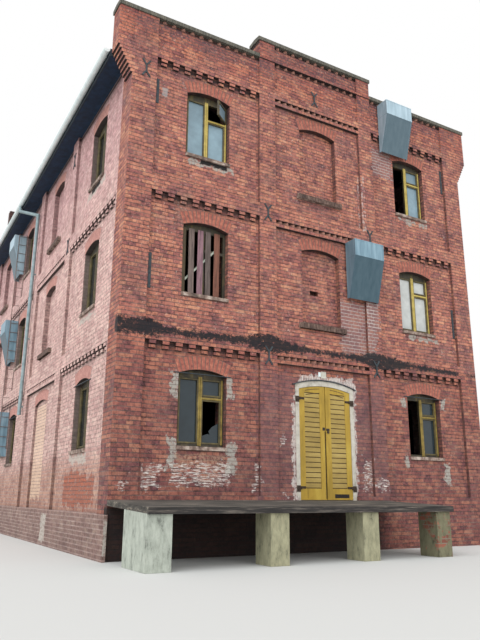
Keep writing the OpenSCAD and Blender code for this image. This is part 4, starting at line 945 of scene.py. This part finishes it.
def covers(face, middle, s):
    """Cover strips down the mullion and along the transom of one window."""
    transom = transom_z(s)
    front, back = FRAME_Y - 0.016, FRAME_Y + 0.004
    made = joined([block((-0.037, front, SILLS[s] + 0.02), (-0.003, back, SPRINGS[s] - 0.02)),
                   block((0.003, front, SILLS[s] + 0.02), (0.037, back, SPRINGS[s] - 0.02)),
                   block((0.037, front, transom - 0.028), (WINDOW_W / 2 - BAR, back, transom + 0.01)),
                   block((WINDOW_W / 2 - BAR, front, SILLS[s] + 0.05),
                         (WINDOW_W / 2 - 0.025, back, SPRINGS[s] - 0.05))])
    return settled(made, at(face, middle))


left_bay, right_bay = middles(WINDOW_BAYS["front"])
front_sashes = [sashes("front", left_bay, 0), sashes("front", left_bay, 2, ("left", "right")),
                sashes("front", right_bay, 0, ("right", "vent")), sashes("front", right_bay, 1),
                sashes("front", right_bay, 2, ("right", "vent"))]
placed(joined(front_sashes), "front_sashes", SASH)
strips = [covers("front", left_bay, 2), covers("front", right_bay, 1), covers("front", right_bay, 2)]
placed(joined(strips), "mullion_covers", YELLOW)
strips = [covers("front", left_bay, 0), covers("front", right_bay, 0)]
placed(joined(strips), "dirty_mullion_covers", OCHRE)
# Broad far stiles of the long wall's windows
for s in range(3):
    stile = block((-WINDOW_W / 2 + 0.004, FRAME_Y - 0.012, SILLS[s] + 0.05),
                  (-WINDOW_W / 2 + 0.085, FRAME_Y + 0.004, SPRINGS[s] - 0.02))
    placed(copied(stile, [at("left", u) for u in middles(WINDOW_BAYS["left"])]), f"left_stiles_{s + 1}",
           SASH)
for s in range(3):
    first = sashes("front", 0, s)
    first.data.transform(FACES["front"].inverted())
    spots = [at(f, u) for f in ("back", "left", "right") for u in middles(WINDOW_BAYS[f])]
    placed(copied(first, spots), f"sashes_{s + 1}", SASH)

# Five planks of their own widths close the middle window, nailed on a lath that runs askew
planks = []
for middle, width, lean in ((-0.437, 0.1, 0.2), (-0.262, 0.118, -0.4), (-0.07, 0.12, 0.3),
                            (0.1, 0.114, -0.2), (0.292, 0.124, 0.4)):
    x = LEFT_WINDOW + middle
    plank = block((x - width / 2, FRAME_Y - 0.024, SILLS[1] + 0.004),
                  (x + width / 2, FRAME_Y - 0.01, SPRINGS[1] - 0.014), 0.002)
    planks.append(turned(plank, math.radians(lean), "Y", (x, FRAME_Y, (SILLS[1] + SPRINGS[1]) / 2)))
made = placed(settled(joined(planks), FACES["front"]), "aged_planks", PLANK)
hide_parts("window_planks")
x, z = LEFT_WINDOW - 0.085, SILLS[1] + 0.63
lath = block((x - 0.55, FRAME_Y - 0.01, z - 0.02), (x + 0.5, FRAME_Y, z + 0.02), 0.002)
turned(lath, math.radians(-47), "Y", (x, 0, z))
placed(settled(lath, FACES["front"]), "askew_lath", LATH)

# Flat iron bars over the ground-floor windows
bars = block((-0.59, RECESS - 0.016, -0.002), (0.59, RECESS + 0.01, 0.014), 0.003)
spots = [at(f, u, 0, SPRINGS[0]) for f in FACES for u in middles(WINDOW_BAYS[f])]
placed(copied(bars, spots), "lintel_bars", IRON)

# Double door: sloping slats in the fields, mouldings, and the grille at the foot of the right leaf
DOOR_X = {"door_left": MID_X - LEAVES_W / 2, "door_right": MID_X + LEAF_GAP / 2}
LEAF_W = (LEAVES_W - LEAF_GAP) / 2
LEAF_H, FOOT_RAIL, HEAD_RAIL = 2.164, 0.23, 0.055
FIELD_LOW, FIELD_HIGH = DOCK_H + 0.01 + FOOT_RAIL, DOCK_H + LEAF_H - HEAD_RAIL
SLATS = 19
for body, x in DOOR_X.items():
    pitch = (FIELD_HIGH - FIELD_LOW) / SLATS
    left, right = x + STILE + 0.002, x + LEAF_W - STILE - 0.002
    low = (left, LEAF_Y + 0.002, FIELD_LOW + 0.001)
    slat = block(low, (right, LEAF_Y + 0.0115, FIELD_LOW + pitch - 0.014), 0.002)
    turned(slat, math.radians(-3), "X", (left, LEAF_Y, FIELD_LOW))
    repeated(slat, SLATS, (0, 0, pitch))
    placed(settled(slat, FACES["front"]), f"slats_{body}", SLAT, body)


def leaf_piece(low, high, name, material, body, bevel=0.002):
    """Small piece on a leaf, given from the building's corner."""
    made = settled(block(low, high, bevel), FACES["front"])
    return placed(made, name, material, body)


# Dark brown strips of painted shade behind the slats, under the lowest slat and in the arched grooves
for body, x in DOOR_X.items():
    leaf_piece((x + STILE, LEAF_Y + 0.0095, FIELD_LOW), (x + LEAF_W - STILE, LEAF_Y + 0.0118, FIELD_HIGH),
               f"grooves_{body}", GROOVE_SHADE, body, 0.0)
    leaf_piece((x + STILE, LEAF_Y - 0.0006, FIELD_LOW - 0.014),
               (x + LEAF_W - STILE, LEAF_Y + 0.003, FIELD_LOW),
               f"lowest_groove_{body}", GROOVE_SHADE, body, 0.0)
    inner, outer = LEAF_GAP / 2 + STILE, LEAVES_W / 2 - STILE
    span = (-outer, -inner) if body == "door_left" else (inner, outer)
    lines = joined([swept(LEAVES_W, 0.099, -down - 0.012, -down, LEAF_Y - 0.0006, LEAF_Y + 0.003, span)
                    for down in (HEAD_RAIL, 0.14)])
    settled(lines, at("front", MID_X, 0, DOCK_H + LEAF_H))
    placed(lines, f"arched_grooves_{body}", GROOVE_SHADE, body)
# A black strip of painted shade in the split down the meeting stile
leaf_piece((MID_X - 0.026, LEAF_Y - 0.0008, DOCK_H + 0.03), (MID_X - 0.0076, LEAF_Y + 0.003, DOCK_H + 1.34),
           "split_meeting_stile", DARK, "door_left", 0.0)
grille_x = DOOR_X["door_right"] + 0.18
# A black block of painted shade behind the grille
leaf_piece((grille_x, LEAF_Y - 0.001, DOCK_H + 0.045), (grille_x + 0.36, LEAF_Y + 0.004, DOCK_H + 0.12),
           "grille_hollow", DARK, "door_right")
low = (grille_x + 0.006, LEAF_Y - 0.006, DOCK_H + 0.045)
grille = block(low, (grille_x + 0.016, LEAF_Y, DOCK_H + 0.12), 0.002)
repeated(grille, 14, (0.0262, 0, 0))
placed(settled(grille, FACES["front"]), "grille_bars", STEEL, "door_right")
# A black strip of painted shade in the crack of the foot board
crack_x = DOOR_X["door_left"] + 0.17
leaf_piece((crack_x, LEAF_Y - 0.0006, DOCK_H + 0.03), (crack_x + 0.006, LEAF_Y + 0.003, DOCK_H + 0.24),
           "foot_board_crack", DARK, "door_left", 0.0)

# Iron strip over the doorway's arch, and two plates above it
strip = swept(1.465, 0.113, 0.0, 0.022, 0.028, 0.06, (-0.8, 0.8))
placed(settled(strip, at("front", MID_X, 0, DOCK_H + 2.252)), "door_arch_strip", IRON)
plate = block((4.43, 0.058, 3.375), (4.56, 0.068, 3.52), 0.003)
placed(settled(plate, FACES["front"]), "pale_plate", PLATE)
box = block((4.355, 0.045, 3.40), (4.415, 0.068, 3.50), 0.006)
placed(settled(box, FACES["front"]), "grey_box", ZINC)

# Folded edges, stiffening strips and rivets on the sheet-metal hoods
HOOD_W, HOOD_H, HOOD_OUT, HOOD_FOOT, HOOD_BAND = 0.82, 1.3, 0.33, 0.07, 0.37


def hood_trim(back):
    """Trim of one hood, whose left foot corner is at u = 0 and whose top is at z = 0."""
    t, edge = 0.002, 0.028
    slope = math.atan2(HOOD_OUT - HOOD_FOOT, HOOD_H - HOOD_BAND)
    length = math.hypot(HOOD_OUT - HOOD_FOOT, HOOD_H - HOOD_BAND)
    fold, over = HOOD_BAND + edge / 2, HOOD_BAND - edge / 2
    made = [block((-t, -HOOD_OUT - t, -fold), (HOOD_W + t, -HOOD_OUT + t, -over), 0.001),
            block((-t, -HOOD_OUT - t, -edge), (HOOD_W + t, -HOOD_OUT + t, 0.001), 0.001)]
    for u in (0.0, HOOD_W - edge):
        strip = block((u - t, -HOOD_FOOT - t, -HOOD_H), (u + edge + t, -HOOD_FOOT + t, length - HOOD_H),
                      0.001)
        made.append(turned(strip, slope, "X", (u, -HOOD_FOOT, -HOOD_H)))
    for u in (0.0, HOOD_W):
        made.append(block((u - t, -HOOD_OUT, -fold), (u + t, back, -over), 0.001))
    bpy.ops.object.select_all(action="DESELECT")
    bpy.ops.mesh.primitive_ico_sphere_add(subdivisions=1, radius=0.007,
                                          location=(0.05, -HOOD_OUT - t, -HOOD_BAND))
    rivets = bpy.context.object
    bpy.ops.object.transform_apply(location=True, rotation=True, scale=True)
    made.append(repeated(rivets, 8, ((HOOD_W - 0.1) / 7, 0, 0)))
    return joined(made)


hoods = [(MID_X + 0.655, FRIEZES[1] - 0.15), (MID_X + 1.84, COPE_Z - 0.09)]
hoods = [at("front", u, 0, z) for u, z in hoods]
placed(copied(hood_trim(0.0), hoods), "front_hood_trim", SHEET)
hood_u = SIDE_L - 9.765 - HOOD_W
hoods = [at("left", hood_u, 0, z - under) for z, under in zip(FRIEZES, (0.316, 0.398, 0.479))]
placed(copied(hood_trim(RECESS), hoods), "left_hood_trim", SHEET)

# Roof: laps of the felt down each slope, a ridge roll, and the straps that carry the gutters
PITCH_OF_ROOF = math.radians(12)
EAVES_Z = FRIEZES[2] + 0.18
RIDGE_Z = EAVES_Z + MID_X * math.tan(PITCH_OF_ROOF)
lap = block((0.0, 1.3, -0.001), ((MID_X + 0.33) / math.cos(PITCH_OF_ROOF), 1.38, 0.006), 0.002)
repeated(lap, 17, (0, 1.0, 0))
turned(lap, PITCH_OF_ROOF, "Y", (0, 0, 0))
laps = [Matrix.Translation((0, -MID_Y, RIDGE_Z)),
        Matrix.Translation((0, SIDE_L - MID_Y, RIDGE_Z)) @ Matrix.Rotation(math.pi, 4, "Z")]
placed(copied(lap, laps), "felt_laps", FELT)
ridge = block((-0.12, 0.39, -0.03), (0.12, SIDE_L - 0.39, 0.012), 0.01)
placed(settled(ridge, Matrix.Translation((0, -MID_Y, RIDGE_Z))), "ridge_felt", FELT)
GUTTER_X, GUTTER_Z, GUTTER_R = 0.4203, FRIEZES[2] + 0.085, 0.067
for side, x in (("left", -GUTTER_X), ("right", FRONT_W + GUTTER_X)):
    bpy.ops.object.select_all(action="DESELECT")
    bpy.ops.mesh.primitive_plane_add(size=1)
    strap = bpy.context.object
    strap.scale = (0.004, 0.03, 1)
    strap.location = (GUTTER_R, 0.6, 0)
    bpy.ops.object.transform_apply(location=True, rotation=True, scale=True)
    spun(strap, (0, 0, 0), math.pi, 12, False)
    repeated(strap, 20, (0, 0.91, 0))
    placed(settled(strap, at("front", x, 0, GUTTER_Z)), f"{side}_gutter_straps", ZINC)

scene = bpy.context.scene
scene.view_settings.view_transform = "Standard"

# Camera where the photograph was taken
EYE = (-7.979, -18.810, 1.029)
YAW, PITCH, ROLL = (math.radians(angle) for angle in (29.604, 15.371, 0.356))
forward = Vector((math.sin(YAW) * math.cos(PITCH), math.cos(YAW) * math.cos(PITCH), math.sin(PITCH)))
right = forward.cross(Vector((0, 0, 1))).normalized()
above = right.cross(forward)
tilted_right = right * math.cos(ROLL) + above * math.sin(ROLL)
tilted_up = above * math.cos(ROLL) - right * math.sin(ROLL)
camera = bpy.data.objects.new("camera", bpy.data.cameras.new("camera"))
scene.collection.objects.link(camera)
turn = Matrix((tilted_right, tilted_up, -forward)).transposed().to_4x4()
camera.matrix_world = Matrix.Translation(EYE) @ turn
camera.data.sensor_width = 36
camera.data.lens = 35.97
camera.data.clip_end = 500
scene.camera = camera

# Pale floor and a white sky that also lights the building from all round
bpy.ops.object.select_all(action="DESELECT")
bpy.ops.mesh.primitive_plane_add(size=160, location=(0, 0, -0.002))
floor = bpy.context.object
floor.name = "floor"
floor_paint = bpy.data.materials.new("pale floor")
floor_paint.use_nodes = True
floor_shader = floor_paint.node_tree.nodes["Principled BSDF"]
floor_shader.inputs["Base Color"].default_value = linear("#c9c9c6")
floor_shader.inputs["Roughness"].default_value = 0.9
floor.data.materials.append(floor_paint)

world = bpy.data.worlds.new("overcast sky")
scene.world = world
world.use_nodes = True
sky = world.node_tree
rays = add(sky, "LightPath", out=None)
seen = add(sky, "Math", (rays["Is Camera Ray"], rays["Is Transmission Ray"]), operation="MAXIMUM")
seen = add(sky, "Math", (seen, rays["Is Glossy Ray"]), operation="MAXIMUM")
strength = add(sky, "Mix", {"Factor": seen, "A": 0.85, "B": 1.0})
sky.links.new(strength, sky.nodes["Background"].inputs["Strength"])
sky.nodes["Background"].inputs["Color"].default_value = (1, 1, 1, 1)

for name, energy, angle, aim in (("high sun behind cloud", 1.25, 40, (0.75, 0.35, -1.0)),
                                 ("soft front light", 1.15, 60, (0.2, 1.0, -0.5)),
                                 ("bright sky on the left", 0.75, 60, (1.0, 0.1, -0.35))):
    lamp = bpy.data.objects.new(name, bpy.data.lights.new(name, "SUN"))
    lamp.data.energy = energy
    lamp.data.color = (0.94, 0.97, 1.0)
    lamp.data.angle = math.radians(angle)
    lamp.rotation_euler = Vector(aim).to_track_quat("-Z", "Y").to_euler()
    scene.collection.objects.link(lamp)
